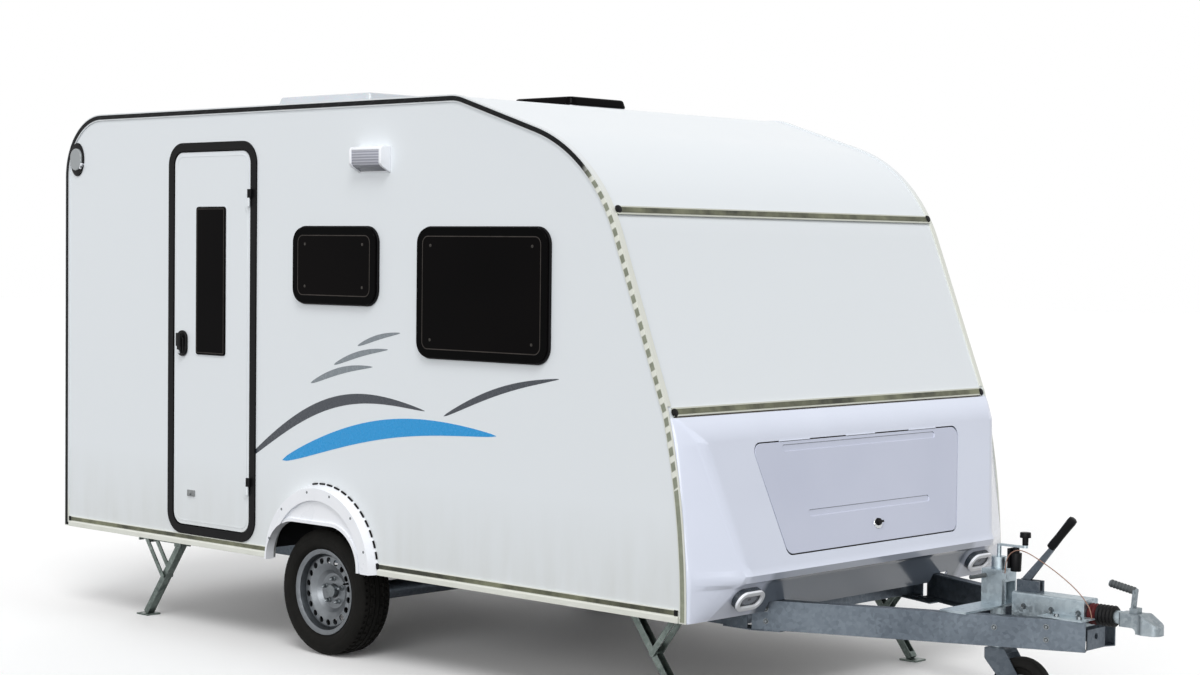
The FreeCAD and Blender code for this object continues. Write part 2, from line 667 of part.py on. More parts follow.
seals = []
panes = []
for side, y_sign in outside.items():
    for name, (x, z, w, tall) in WINDOWS.items():
        flange = piece(f"{name}_{side}_flange")
        window_ring(flange, side_y * y_sign, y_sign, x, z, w, tall, Size(0), d.seal_w, d.seal_t)
        liner = piece(f"{name}_{side}_liner")
        window_ring(liner, side_y * y_sign, -y_sign, x, z, w, tall, d.seal_w / 2 + d.fit, d.seal_w, d.wall_t)
        seals.append(fused(flange, liner))
        pane = piece(f"{name}_{side}_pane")
        pad(inset_box(sketch_on(pane, "XZ_Plane", (side_y + d.seal_t) * y_sign), x, z, w, tall,
                      d.window_round, d.pane_in), d.pane_t, y_sign)
        panes.append(pane)

rear_sill = (-d.rear_window_w / 2, d.rear_window_z, d.rear_window_w, d.rear_window_h, d.window_round)
rear_seal = piece("rear_window_seal")
pad(inset_box(sketch_on(rear_seal, "YZ_Plane", d.rear_x), *rear_sill, Size(0)), d.seal_t, -1)
pocket(inset_box(sketch_on(rear_seal, "YZ_Plane", d.rear_x), *rear_sill, d.seal_w), d.seal_t, -1)
rear_window = piece("rear_window")
pad(inset_box(sketch_on(rear_window, "YZ_Plane", d.rear_x - d.seal_t), *rear_sill, d.pane_in), d.pane_t, -1)
node(fused(*seals, rear_seal), "window_seals")
node(fused(*panes, rear_window), "windows")

# ---------------------------------------------------------------- entrance door
door_box = (door_x, d.door_z, d.door_w, d.door_h, d.door_round)


def door_shape(owner, at, grow):
    return inset_box(sketch_on(owner, "XZ_Plane", at), *door_box, -grow)


frame = body("door_frame")
pad(door_shape(frame, -side_y, d.door_frame_w), d.door_frame_t, -1)
pad(door_shape(frame, -side_y, d.door_frame_w / 2 - d.fit), d.wall_t, 1)
pocket(door_shape(frame, -side_y, d.door_gap), Size(200), 0)
leaf = body("door_leaf")
leaf_face = side_y + 4
pad(door_shape(leaf, -leaf_face, Size(0)), d.door_t, 1)
glass_box = (door_x + d.door_window_x, d.door_z + d.door_window_z, d.door_window_w, d.door_window_h)
pocket(box_outline(sketch_on(leaf, "XZ_Plane", -leaf_face), glass_box[0] + 14, glass_box[1] + 14,
                   glass_box[2] - 28, glass_box[3] - 28, Size(10)), d.door_t, 1)
hinge_axis = (door_x + d.door_w + 3, -leaf_face - 13)
knuckle_r = 7
knuckle_l = 40
for hinge_low in (d.door_z + 180, d.door_z + d.door_h - 260):
    # a tube on the leaf under a knuckle with its pin on the frame
    pad(outline(sketch_on(leaf, "XY_Plane", hinge_low), [
        (hinge_axis[0] - 18, hinge_axis[1], 0), (hinge_axis[0], hinge_axis[1], 0),
        (hinge_axis[0], -leaf_face, 0), (hinge_axis[0] - 18, -leaf_face, 0)]), Size(knuckle_l), 1)
    pad(circle(sketch_on(leaf, "XY_Plane", hinge_low), *hinge_axis, Size(knuckle_r)), Size(knuckle_l), 1)
    pocket(circle(sketch_on(leaf, "XY_Plane", hinge_low), *hinge_axis, Size(3.05)), Size(knuckle_l), 1)
    knuckle_z = hinge_low + knuckle_l + d.fit
    pad(outline(sketch_on(frame, "XY_Plane", knuckle_z), [
        (hinge_axis[0], hinge_axis[1] - 4, 0), (hinge_axis[0] + 20, hinge_axis[1] - 4, 0),
        (hinge_axis[0] + 20, -side_y - d.door_frame_t, 0), (hinge_axis[0], -side_y - d.door_frame_t, 0)]),
        Size(knuckle_l), 1)
    pad(circle(sketch_on(frame, "XY_Plane", knuckle_z), *hinge_axis, Size(knuckle_r)), Size(knuckle_l), 1)
    pad(circle(sketch_on(frame, "XY_Plane", knuckle_z), *hinge_axis, Size(3)), Size(knuckle_l - 4), -1)
door_glass = body("door_window")
pad(box_outline(sketch_on(door_glass, "XZ_Plane", -leaf_face), *glass_box, d.door_pane_round),
    d.door_pane_t, -1)
handle = body("door_handle")
handle_x = door_x + 70
handle_z = d.door_z + 872
pad(box_outline(sketch_on(handle, "XZ_Plane", -leaf_face), handle_x - d.handle_w / 2,
                handle_z - d.handle_h / 2, d.handle_w, d.handle_h, d.handle_w / 2 - 1), d.handle_t, -1)
pad(box_outline(sketch_on(handle, "XZ_Plane", -leaf_face - d.handle_t), handle_x - d.grip_w / 2,
                handle_z - 48, d.grip_w, d.grip_h, d.grip_w / 2 - 1), d.grip_t, -1)

# ---------------------------------------------------------------- wheel arches and housings
arch_trims = body("wheel_arch_trims")
arch_flange = pad(circle(sketch_on(arch_trims, "XZ_Plane", side_y), trim_x, trim_z, arch_trim_r),
                  d.arch_trim_t, 1)
arch_flange.TaperAngle = -20
arch_face = side_y + d.arch_trim_t
arch_steps = [
    arch_flange,
    pocket(circle(sketch_on(arch_trims, "XZ_Plane", arch_face), trim_x, trim_z, arch_trim_r - d.arch_flange_w),
           d.arch_dish, -1),
    pad(arch_opening(sketch_on(arch_trims, "XZ_Plane", side_y), d.arch_lip_w), d.arch_trim_t - 8, 1),
    pocket(arch_opening(sketch_on(arch_trims, "XZ_Plane", side_y)), d.arch_trim_t, 1),
    pocket(box_outline(sketch_on(arch_trims, "XZ_Plane", side_y), trim_x - arch_trim_r * 2,
                       d.skirt_z - arch_trim_r * 2, arch_trim_r * 4, arch_trim_r * 2), d.arch_trim_t, 1)]
mirrored(arch_trims, *arch_steps)
housings = []
for y_sign in (-1, 1):
    low_y = inner_w / 2 - d.housing_in if y_sign > 0 else -inner_w / 2
    shell = block(d.axle_x - housing_half, low_y, d.floor_z, housing_half * 2, d.housing_in,
                  housing_top_z - d.floor_z)
    room = block(d.axle_x - housing_half + d.housing_t, low_y + (d.housing_t if y_sign > 0 else -d.housing_t),
                 d.floor_z - 1, (housing_half - d.housing_t) * 2, d.housing_in,
                 housing_top_z - d.floor_z - d.housing_t + 1)
    housings.append(cut(shell, room))
node(fused(*housings), "wheel_housings")

# ---------------------------------------------------------------- rooflights and lamps
roof_frames = []
for name, (x, length, w, rise) in ROOFLIGHTS.items():
    upstand = rise / 3
    roof_frames.append(cut(block(x, -w / 2, d.roof_z, length, w, upstand),
                           block(x + roof_rim, -w / 2 + roof_rim, d.roof_z - 1, length - roof_rim * 2,
                                 w - roof_rim * 2, upstand + 2)))
    dome = body(f"{name}_rooflight")
    shape = pad(box_outline(sketch_on(dome, "XY_Plane", d.roof_z + upstand), x - 12, -w / 2 - 12, length + 24,
                            w + 24, Size(45)), rise - upstand, 1)
    shape.TaperAngle = -20
node(fused(*roof_frames), "rooflight_frames")
lamp = body("awning_lamp")
lamp_x = d.axle_x + 270
pad(outline(sketch_on(lamp, "YZ_Plane", lamp_x), [
    (-side_y, d.lamp_z, 0), (-side_y - d.awning_lamp_t, d.lamp_z + 35, 0),
    (-side_y - d.awning_lamp_t, d.lamp_z + d.awning_lamp_h - 20, 12),
    (-side_y, d.lamp_z + d.awning_lamp_h, 0)]), d.awning_lamp_l, 1)


def lamp_on(owner_name, role, at, left, low, wide, tall, radius, thick, way):
    made = piece(owner_name)
    pad(box_outline(sketch_on(made, role, at), left, low, wide, tall, radius), thick, way)
    return made


def band_sketch(owner, z, face_x, lean):
    """A sketch on the locker front's lower band, which leans back to the skirt."""
    sketch = owner.newObject("Sketcher::SketchObject", f"{owner.Name}_band")
    sketch.AttachmentSupport = [(plane_of(owner, "YZ_Plane"), "")]
    sketch.MapMode = "FlatFace"
    sketch.AttachmentOffset = Placement(Vector(0, 0, 0), Rotation(Vector(1, 0, 0), float(lean)))
    bind(sketch, "AttachmentOffset.Base.y", z)
    bind(sketch, "AttachmentOffset.Base.z", face_x)
    bind(sketch, "AttachmentOffset.Rotation.Angle", lean)
    return sketch


# front position lamps: ovals on the band under the locker front
band_top, band_low = MOULDING[-2], MOULDING[-1]
band_lean = arctan(Size(band_top[1] - band_low[1]) / (band_low[0] - band_top[0]))
band_share = 0.32
band_z = d.seam_z - band_top[0] - (band_low[0] - band_top[0]) * band_share
band_x = d.nose_x + band_top[1] - (band_top[1] - band_low[1]) * band_share
front_lamps = piece("front_lamps")
band = band_sketch(front_lamps, band_z, band_x, band_lean)
lamp_pad = pad(box_outline(band, side_y - d.front_lamp_in - d.position_w / 2, -d.position_h / 2, d.position_w,
                           d.position_h, d.position_h / 2 - 1), d.position_t, 1)
mirrored(front_lamps, lamp_pad)
marker_x = d.rear_x + d.marker_in
marker_z = d.roof_z - d.marker_drop
markers = []
for y_sign in (-1, 1):
    markers.append(lamp_on(f"marker_{y_sign + 2}", "XZ_Plane", side_y * y_sign, marker_x - d.marker_w / 2,
                           marker_z - d.marker_h / 2, d.marker_w, d.marker_h, d.marker_w / 2 - 1, d.marker_t,
                           y_sign))
node(fused(front_lamps, *markers), "marker_lamps")
carrier = body("rear_lamp_carrier")
carrier_x = d.rear_x - d.carrier_t
pad(outline(sketch_on(carrier, "XZ_Plane"), [
    (d.rear_x, d.carrier_z, 0), (carrier_x, d.carrier_z, 16), (carrier_x, d.carrier_z + d.carrier_h - 10, 0),
    (carrier_x + 12, d.carrier_z + d.carrier_h, 0), (d.rear_x, d.carrier_z + d.carrier_h, 0)]),
    d.body_w - 120, 0)
rear_lamps = body("rear_lamps")
rear_lamp_y = side_y - d.rear_lamp_in - d.rear_lamp_w
rear_lamp_pad = pad(box_outline(sketch_on(rear_lamps, "YZ_Plane", carrier_x), rear_lamp_y, d.carrier_z + 22,
                                d.rear_lamp_w, d.rear_lamp_h, Size(14)), d.rear_lamp_t, -1)
mirrored(rear_lamps, rear_lamp_pad)

# ---------------------------------------------------------------- chassis and drawbar
rail_low_z = d.floor_z - d.rail_h
rail_out_y = d.rail_y + d.rail_w


def channel(sketch, web_y, flange, low_z):
    """A C section: web at web_y, flanges reaching `flange` to the inside."""
    t = d.rail_t if flange > 0 else -d.rail_t
    return outline(sketch, [
        (web_y, low_z, 0), (web_y, low_z + d.rail_h, 0), (web_y - flange, low_z + d.rail_h, 0),
        (web_y - flange, low_z + d.rail_h - d.rail_t, 0), (web_y - t, low_z + d.rail_h - d.rail_t, 0),
        (web_y - t, low_z + d.rail_t, 0), (web_y - flange, low_z + d.rail_t, 0), (web_y - flange, low_z, 0)])


chassis = body("chassis_rails")
rail_pad = pad(channel(sketch_on(chassis, "YZ_Plane", rail_rear_x), rail_out_y, d.rail_w, rail_low_z),
               d.bar_x - 22 - rail_rear_x, 1)
mirrored(chassis, rail_pad)
bar_run = d.bar_tip_x - d.bar_x
bar_in = rail_out_y - d.bar_tip_y
bar_angle = arctan(bar_in / bar_run)
bars = []
for side, y_sign in outside.items():
    bar = piece(f"drawbar_{side}")
    pad(channel(sketch_on(bar, "YZ_Plane"), Size(0), d.rail_w * y_sign, Size(0)),
        root(bar_run * bar_run + bar_in * bar_in), 1)
    place(bar, d.bar_x, rail_out_y * y_sign, rail_low_z, (0, 0, -y_sign), bar_angle)
    bars.append(bar)
node(fused(*bars), "drawbar_beams")
gussets = piece("drawbar_gussets")
gusset_pad = pad(outline(sketch_on(gussets, "XY_Plane", rail_low_z), [
    (d.bar_x - 150, d.rail_y, 0), (d.bar_x + 110, d.rail_y - 90, 0), (d.bar_x + 110, rail_out_y - 46, 0),
    (d.bar_x, rail_out_y, 0), (d.bar_x - 150, rail_out_y, 0)]), d.plate_t, -1)
mirrored(gussets, gusset_pad)
cross = []
web_in = rail_out_y - d.rail_t - d.fit
for x in (rail_rear_x + 60, d.steady_rear_x + 120, d.axle_x + 330, d.bar_x - 110):
    cross.append(block(x, -web_in, rail_low_z + d.rail_t + d.fit, d.cross_t, web_in * 2,
                       d.rail_h - d.rail_t * 2 - d.fit * 2))
node(fused(*cross), "cross_members")

# ---------------------------------------------------------------- axle
tube_x = d.axle_x + d.arm_l
tube_low = rail_low_z - d.axle_r
node(rod(tube_x, -arm_y, tube_low, d.axle_r, arm_y * 2, "Y"), "axle_tube")
arm_rise = tube_low - tyre_r
arm_run = root(d.arm_l * d.arm_l + arm_rise * arm_rise)
arm_side_x = arm_rise / arm_run * d.arm_r
arm_side_z = d.arm_l / arm_run * d.arm_r
boss_r = d.arm_r + 12
arms = body("suspension_arms")
arm_face = arm_y + d.arm_t
arm_pads = [
    pad(circle(sketch_on(arms, "XZ_Plane", arm_y), d.axle_x, tyre_r, d.arm_r), d.arm_t, 1),
    pad(circle(sketch_on(arms, "XZ_Plane", arm_y), tube_x, tube_low, boss_r), d.arm_t, 1),
    pad(outline(sketch_on(arms, "XZ_Plane", arm_y), [
        (d.axle_x - arm_side_x, tyre_r + arm_side_z, 0), (d.axle_x + arm_side_x, tyre_r - arm_side_z, 0),
        (tube_x + arm_side_x, tube_low - arm_side_z - 8, 0),
        (tube_x - arm_side_x, tube_low + arm_side_z + 8, 0)]), d.arm_t, 1),
    pad(circle(sketch_on(arms, "XZ_Plane", arm_face), d.axle_x, tyre_r, d.drum_r + 8), Size(8), 1),
    pad(circle(sketch_on(arms, "XZ_Plane", arm_face + 8), d.axle_x, tyre_r, d.stub_r),
        wheel_y - arm_face + 2, 1)]
mirrored(arms, *arm_pads)

# ---------------------------------------------------------------- road wheels
half_rim = d.rim_w / 2
half_tyre = d.tyre_w / 2
seat = half_rim - 12
for side, y_sign in outside.items():
    spin = ((0, 0, 1), 180 if y_sign < 0 else 0)
    where = (d.axle_x, wheel_y * y_sign, tyre_r)
    tyre = body(f"tyre_{side}")
    revolve(outline(sketch_on(tyre, "YZ_Plane"), [
        (-seat, bead_r + 2, 0), (seat, bead_r + 2, 0), (seat, d.rim_r + 2, 0), (half_tyre, d.rim_r + 24, 14),
        (half_tyre, tyre_r - 26, 22), (half_tyre - 24, tyre_r, 8), (24 - half_tyre, tyre_r, 8),
        (-half_tyre, tyre_r - 26, 22), (-half_tyre, d.rim_r + 24, 14), (-seat, d.rim_r + 2, 0)]))
    place(tyre, *where, *spin)
    rim = body(f"wheel_rim_{side}")
    revolve(outline(sketch_on(rim, "YZ_Plane"), [
        (half_rim, d.rim_r, 0), (seat, d.rim_r, 0), (seat, bead_r + 2, 0), (-seat, bead_r + 2, 0),
        (-seat, d.rim_r, 0), (-half_rim, d.rim_r, 0), (-half_rim, d.rim_r - 5, 0),
        (-half_rim + 8, bead_r - 4, 0), (Size(24), bead_r - 4, 0),
        (Size(37), bead_r - 20, 8), (Size(40), bead_r - 50, 12),
        (Size(24), bead_r - 76, 10), (d.drum_face, bead_r - 94, 0), (d.drum_face, d.hub_r, 0),
        (Size(13), d.hub_r, 0), (Size(13), bead_r - 98, 6), (Size(30), bead_r - 80, 10),
        (Size(47), bead_r - 50, 14),
        (Size(44), bead_r - 18, 8), (Size(32), bead_r - 4, 0), (half_rim - 8, bead_r - 4, 0),
        (half_rim, d.rim_r - 5, 0)]))
    vent = pocket(circle(sketch_on(rim, "XZ_Plane"), Size(0), bead_r - d.vent_in, d.vent_r), Size(70), 1)
    around(rim, vent, 18)
    place(rim, *where, *spin)
    drum = body(f"brake_drum_{side}")
    revolve(outline(sketch_on(drum, "YZ_Plane"), [
        (d.drum_face, d.stub_r + 0.05, 0), (d.drum_face, d.drum_r, 8), (-d.drum_deep, d.drum_r, 0),
        (-d.drum_deep, d.stub_r + 0.05, 0)]))
    place(drum, *where, *spin)

# ---------------------------------------------------------------- overrun device and coupling
def x_bore(base, x, length, radius, name="bore"):
    return cut(base, rod(x - 1, Size(0), d.tube_z, radius, length + 2, "X"), name=name)


housing_l = d.housing_tip_x - d.housing_x
half_w = d.housing_w / 2
hat_in = half_w - d.hat_t
hat_low_z = d.tube_z - d.hat_under
hat_top_z = d.tube_z + d.hat_over
hat = piece("overrun_hat")
pad(outline(sketch_on(hat, "YZ_Plane", d.housing_x), [
    (-half_w, hat_low_z, 0), (-half_w, hat_top_z, 8), (half_w, hat_top_z, 8), (half_w, hat_low_z, 0),
    (hat_in, hat_low_z, 0), (hat_in, hat_top_z - d.hat_t, 2), (-hat_in, hat_top_z - d.hat_t, 2),
    (-hat_in, hat_low_z, 0)]), housing_l, 1)
end_plates = [block(x, -hat_in, hat_low_z, d.end_plate_t, hat_in * 2, d.hat_under + d.hat_over - d.hat_t)
              for x in (d.housing_x + 60, d.housing_tip_x - d.end_plate_t)]
wings = block(d.housing_tip_x - d.wing_back, -d.wing_y, d.floor_z, d.wing_l, 2 * d.wing_y, d.plate_t)
nose_half = d.bar_tip_y - d.rail_w * cosine(bar_angle) - d.fit
nose_x = d.bar_tip_x - d.rail_w * sine(bar_angle) - d.plate_t
nose_plate = block(nose_x, -nose_half, rail_low_z, d.plate_t, nose_half * 2, d.nose_plate_h)
overrun = fused(hat, *end_plates, name="overrun_solid")
wing_plate = cut(wings, block(d.housing_x, -hat_in, hat_low_z - 10, housing_l + 100, hat_in * 2, Size(110)))
node(x_bore(fused(overrun, wing_plate), d.housing_x, housing_l, d.tube_r + 0.3), "overrun_housing")
nose_bore = rod(d.bar_tip_x - 60, Size(0), rail_low_z + 50, d.nose_hole_r, Size(90), "X")
node(fused(gussets, cut(nose_plate, nose_bore)), "drawbar_plates")
tube_back = d.housing_x + 90
node(rod(tube_back, Size(0), d.tube_z, d.tube_r, d.ball_x - 85 - tube_back, "X"), "overrun_tube")
bellows = body("drawbar_bellows")
folds = 7
bellows_x = d.housing_tip_x + d.fit
wave = [(bellows_x, d.tube_r + 0.3, 0)]
for i in range(folds):
    wave += [(bellows_x + d.fold * i, d.fold_low_r, 0), (bellows_x + d.fold * (i + 0.5), d.fold_high_r, 0)]
wave += [(bellows_x + d.fold * folds, d.fold_low_r, 0), (bellows_x + d.fold * folds, d.tube_r + 0.3, 0)]
revolve(outline(sketch_on(bellows, "XZ_Plane"), wave))
place(bellows, Size(0), Size(0), d.tube_z)
head = piece("coupling_block")
head_x = d.ball_x - 120
head_low = d.ball_z - d.head_under
pad(outline(sketch_on(head, "XY_Plane", head_low), [
    (head_x, -d.neck_y, 10), (d.ball_x - 40, -d.neck_y, 0), (d.ball_x - 16, -d.cheek_y, 20),
    (d.coupling_tip_x, -d.neck_y, 30), (d.coupling_tip_x, d.neck_y, 30), (d.ball_x - 16, d.cheek_y, 20),
    (d.ball_x - 40, d.neck_y, 0), (head_x, d.neck_y, 10)]), d.head_h, 1)
head_high = head_low + d.head_h
pocket(outline(sketch_on(head, "XZ_Plane"), [
    (d.ball_x - 22, head_high, 0), (d.coupling_tip_x + 2, head_high - 44, 0),
    (d.coupling_tip_x + 2, head_high + 2, 0), (d.ball_x - 22, head_high + 2, 0)]), Size(120), 0)
neck_hollow = box_outline(sketch_on(head, "XZ_Plane"), head_x - 30, d.ball_z - 40, Size(104), Size(50),
                          Size(18))
pocket(neck_hollow, Size(120), 0)
pocket(circle(sketch_on(head, "YZ_Plane", head_x), Size(0), d.tube_z, d.tube_r + 0.3), Size(60), 1)
socket_ball = doc.addObject("Part::Sphere", "socket_ball")
bind(socket_ball, "Radius", d.ball_r + 0.5)
place(socket_ball, d.ball_x, Size(0), d.ball_z)
socket_mouth = rod(d.ball_x, Size(0), d.ball_z - 30, d.ball_r + 0.5, Size(30))
node(cut(head, socket_ball, socket_mouth), "coupling_head")


def bar_between(x0, z0, x1, z1, y, thick, deep, name):
    """A flat bar from one point to another in a plane along XZ."""
    run = x1 - x0
    rise = z1 - z0
    length = root(run * run + rise * rise)
    made = block(Size(0), Size(0), Size(0), length, thick, deep, name)
    angle = arctan(rise / run)
    made.Placement = Placement(Vector(0, 0, 0), Rotation(Vector(0, -1, 0), float(angle)))
    return place(made, x0, y, z0)


def grip_between(x0, z0, x1, z1, y, radius, name):
    """A round grip from one point to another in a plane along XZ."""
    run = x1 - x0
    rise = z1 - z0
    made = doc.addObject("Part::Cylinder", name)
    bind(made, "Radius", radius)
    bind(made, "Height", root(run * run + rise * rise))
    lean = math.degrees(math.atan2(float(run), float(rise)))
    made.Placement = Placement(Vector(0, 0, 0), Rotation(Vector(0, 1, 0), lean))
    return place(made, x0, y, z0)


handle_x1 = d.ball_x - 64
coupling_lever = fused(
    block(handle_x1 - d.riser_w / 2, Size(-20), head_high, d.riser_w, Size(40), Size(20)),
    bar_between(handle_x1 - 6, head_high + 12, handle_x1 + 2, head_high + d.riser_h, -d.riser_w / 2, d.riser_w,
                d.riser_t, "riser"),
    grip_between(handle_x1 - 112, d.tube_z + 127, handle_x1 + 4, head_high + d.riser_h - 6, Size(0), d.handle_r,
                 "grip"))
node(coupling_lever, "coupling_handle")
lever_x = d.housing_x + 14
lever_z = hat_top_z
lever_tip = (lever_x + d.lever_reach, lever_z + d.lever_rise)
lever_mid = (lever_x + d.lever_reach * 0.6, lever_z + d.lever_rise * 0.6)
lever_foot = (lever_x + 4, lever_z + 26)
lever_run = lever_mid[0] - lever_foot[0]
lever_rise = lever_mid[1] - lever_foot[1]
lever_long = root(lever_run * lever_run + lever_rise * lever_rise)


def lever_corner(end, half):
    """A corner of the flat lever, off its middle line by half its width there."""
    return (end[0] - lever_rise / lever_long * half, end[1] + lever_run / lever_long * half, 0)


lever = piece("lever_bar")
pad(outline(sketch_on(lever, "XZ_Plane"), [
    lever_corner(lever_foot, -d.lever_foot), lever_corner(lever_mid, -d.lever_tip),
    lever_corner(lever_mid, d.lever_tip), lever_corner(lever_foot, d.lever_foot)]), d.lever_t, 0)
brake_half = d.brake_w / 2
brake = fused(block(lever_x - 12, -brake_half, lever_z, d.brake_l, d.brake_t, d.brake_h),
              block(lever_x - 12, brake_half - d.brake_t, lever_z, d.brake_l, d.brake_t, d.brake_h),
              block(lever_x - 12, -brake_half, lever_z, d.brake_l, d.brake_w, d.plate_t),
              rod(lever_x + 8, -brake_half - 2, lever_z + 28, Size(7), d.brake_w + 4, "Y"), lever)
grip = grip_between(lever_mid[0] - 6, lever_mid[1] + 4, *lever_tip, Size(0), d.lever_grip_r, "handbrake_grip")
node(fused(brake, grip), "handbrake_lever")

# ---------------------------------------------------------------- jockey wheel
clamp_x = d.jockey_x - d.clamp_l / 2
clamp_out = d.clamp_in + d.clamp_t
clamp_low = d.floor_z + d.clamp_t
clamp_block_z = clamp_low + d.clamp_h - d.clamp_block_h
eye_x = clamp_x + d.clamp_l
bracket = fused(
    block(d.jockey_x - 70, -d.clamp_beam_y, d.floor_z, d.clamp_beam_l, d.clamp_beam_y * 2, d.clamp_t),
    block(clamp_x, -clamp_out, clamp_low, d.clamp_l, d.clamp_t, d.clamp_h),
    block(clamp_x, d.clamp_in, clamp_low, d.clamp_l, d.clamp_t, d.clamp_h),
    block(clamp_x, -d.clamp_in, clamp_block_z, d.clamp_l, d.clamp_in * 2, d.clamp_block_h),
    cut(block(eye_x, -clamp_out, d.floor_z + 112, d.eye_l, d.clamp_t, d.eye_h),
        rod(eye_x + 11, -clamp_out + d.clamp_t / 2, d.floor_z + 110, d.cable_r + 0.3, Size(30))))
node(cut(bracket, rod(d.jockey_x, Size(0), d.floor_z - 10, d.jockey_r + 0.05, Size(300))), "jockey_clamp")
outer_l = d.jockey_top_z - d.jockey_low_z
jockey_tube = cut(rod(d.jockey_x, Size(0), d.jockey_low_z, d.jockey_r, outer_l),
                  rod(d.jockey_x, Size(0), d.jockey_low_z - 1, jockey_inner_r + 0.4, outer_l - 29))
crank_z = d.jockey_top_z + d.crank_rise
crank = fused(jockey_tube, rod(d.jockey_x, Size(0), d.jockey_top_z, d.spindle_r, d.spindle_h),
              block(d.jockey_x, -d.crank_w / 2, crank_z, d.crank_l, d.crank_w, d.crank_t),
              rod(d.jockey_x + d.crank_l, Size(0), crank_z, d.knob_neck_r, d.knob_neck_h),
              rod(d.jockey_x + d.crank_l, Size(0), crank_z + d.knob_neck_h, d.knob_r, d.knob_h))
node(crank, "jockey_tube")
fork_top = d.jockey_wheel_r * 2 + 12
inner_tube = rod(d.jockey_x, Size(0), fork_top + 14 + d.fit, jockey_inner_r, d.jockey_top_z - 100 - fork_top)
node(inner_tube, "jockey_inner_tube")
castor = body("jockey_fork")
wheel_x = d.jockey_x + d.castor_trail
half_fork = d.jockey_wheel_w / 2 + 8
pad(outline(sketch_on(castor, "XZ_Plane"), [
    (d.jockey_x - 34, fork_top + 14, 0), (d.jockey_x - 34, fork_top - 30, 20),
    (wheel_x - 24, d.jockey_wheel_r - 24, 18),
    (wheel_x + 24, d.jockey_wheel_r - 24, 18), (wheel_x + 24, d.jockey_wheel_r + 30, 10),
    (d.jockey_x + 60, fork_top + 14, 8)]), half_fork * 2 + 12, 0)
pocket(box_outline(sketch_on(castor, "YZ_Plane", d.jockey_x - 80), -half_fork, Size(-10), half_fork * 2,
                   fork_top + 10), Size(400), 1)
pad(circle(sketch_on(castor, "XZ_Plane"), wheel_x, d.jockey_wheel_r, d.castor_pin_r), half_fork * 2, 0)
jockey_wheel = body("jockey_wheel")
half_jockey = d.jockey_wheel_w / 2
revolve(outline(sketch_on(jockey_wheel, "YZ_Plane"), [
    (-half_jockey, d.castor_pin_r + 0.05, 0), (half_jockey, d.castor_pin_r + 0.05, 0),
    (half_jockey, d.castor_hub_r, 0), (d.castor_web, d.castor_boss_r, 4),
    (d.castor_web, d.jockey_wheel_r - 44, 4), (half_jockey, d.jockey_wheel_r - 34, 6),
    (half_jockey, d.jockey_wheel_r, 18), (-half_jockey, d.jockey_wheel_r, 18),
    (-half_jockey, d.jockey_wheel_r - 34, 6), (-d.castor_web, d.jockey_wheel_r - 44, 4),
    (-d.castor_web, d.castor_boss_r, 4), (-half_jockey, d.castor_hub_r, 0)]))
place(jockey_wheel, wheel_x, Size(0), d.jockey_wheel_r)

# ---------------------------------------------------------------- breakaway cable
# a sheathed steel cable from an eye on the jockey wheel's clamp, over the overrun housing and down
# to an eye on its wing plate; each bend is an arc tangent to the runs beside it
CABLE_ROUTE = [
    (2154, -48, 592), (2155, -48, 620), (2162, -48, 653), (2183, -48, 680), (2216, -48, 692),
    (2257, -48, 684), (2303, -48, 664), (2350, -48, 641), (2398, -49, 615), (2443, -51, 588),
    (2486, -54, 559), (2520, -58, 529), (2543, -61, 502), (2553, -63, 478), (2556, -64, 461.3)]


def route_path(points):
    """Straight runs and tangent arcs through the points of a route, and the arcs' radii."""
    edges = []
    radii = []
    start = points[0]
    for before, corner, after in zip(points, points[1:], points[2:]):
        back = before - corner
        ahead = after - corner
        reach = 0.45 * min(back.Length, ahead.Length)
        back.normalize()
        ahead.normalize()
        half_turn = (math.pi - back.getAngle(ahead)) / 2
        radius = reach / math.tan(half_turn)
        centre = corner + (back + ahead).normalize() * (radius / math.cos(half_turn))
        middle = centre + (corner - centre).normalize() * radius
        edges.append(Part.LineSegment(start, corner + back * reach).toShape())
        start = corner + ahead * reach
        edges.append(Part.Arc(corner + back * reach, middle, start).toShape())
        radii.append(round(radius))
    edges.append(Part.LineSegment(start, points[-1]).toShape())
    return Part.Wire(edges), radii


cable_path, cable_radii = route_path([Vector(*point) for point in CABLE_ROUTE])
cable_start = Vector(*CABLE_ROUTE[0])
cable_axis = Vector(*CABLE_ROUTE[1]) - cable_start
cable_ring = Part.Wire(Part.Circle(cable_start, cable_axis, float(d.cable_r)).toShape())
cable = doc.addObject("Part::Feature", "breakaway_cable")
cable.Shape = cable_path.makePipeShell([cable_ring], True, True)
node(cable, "breakaway_cable")
cable_volume = math.pi * d.cable_r ** 2 * cable_path.Length
print("cable length", round(cable_path.Length), "radii", cable_radii,
      "volume share", round(cable.Shape.Volume / cable_volume, 4))

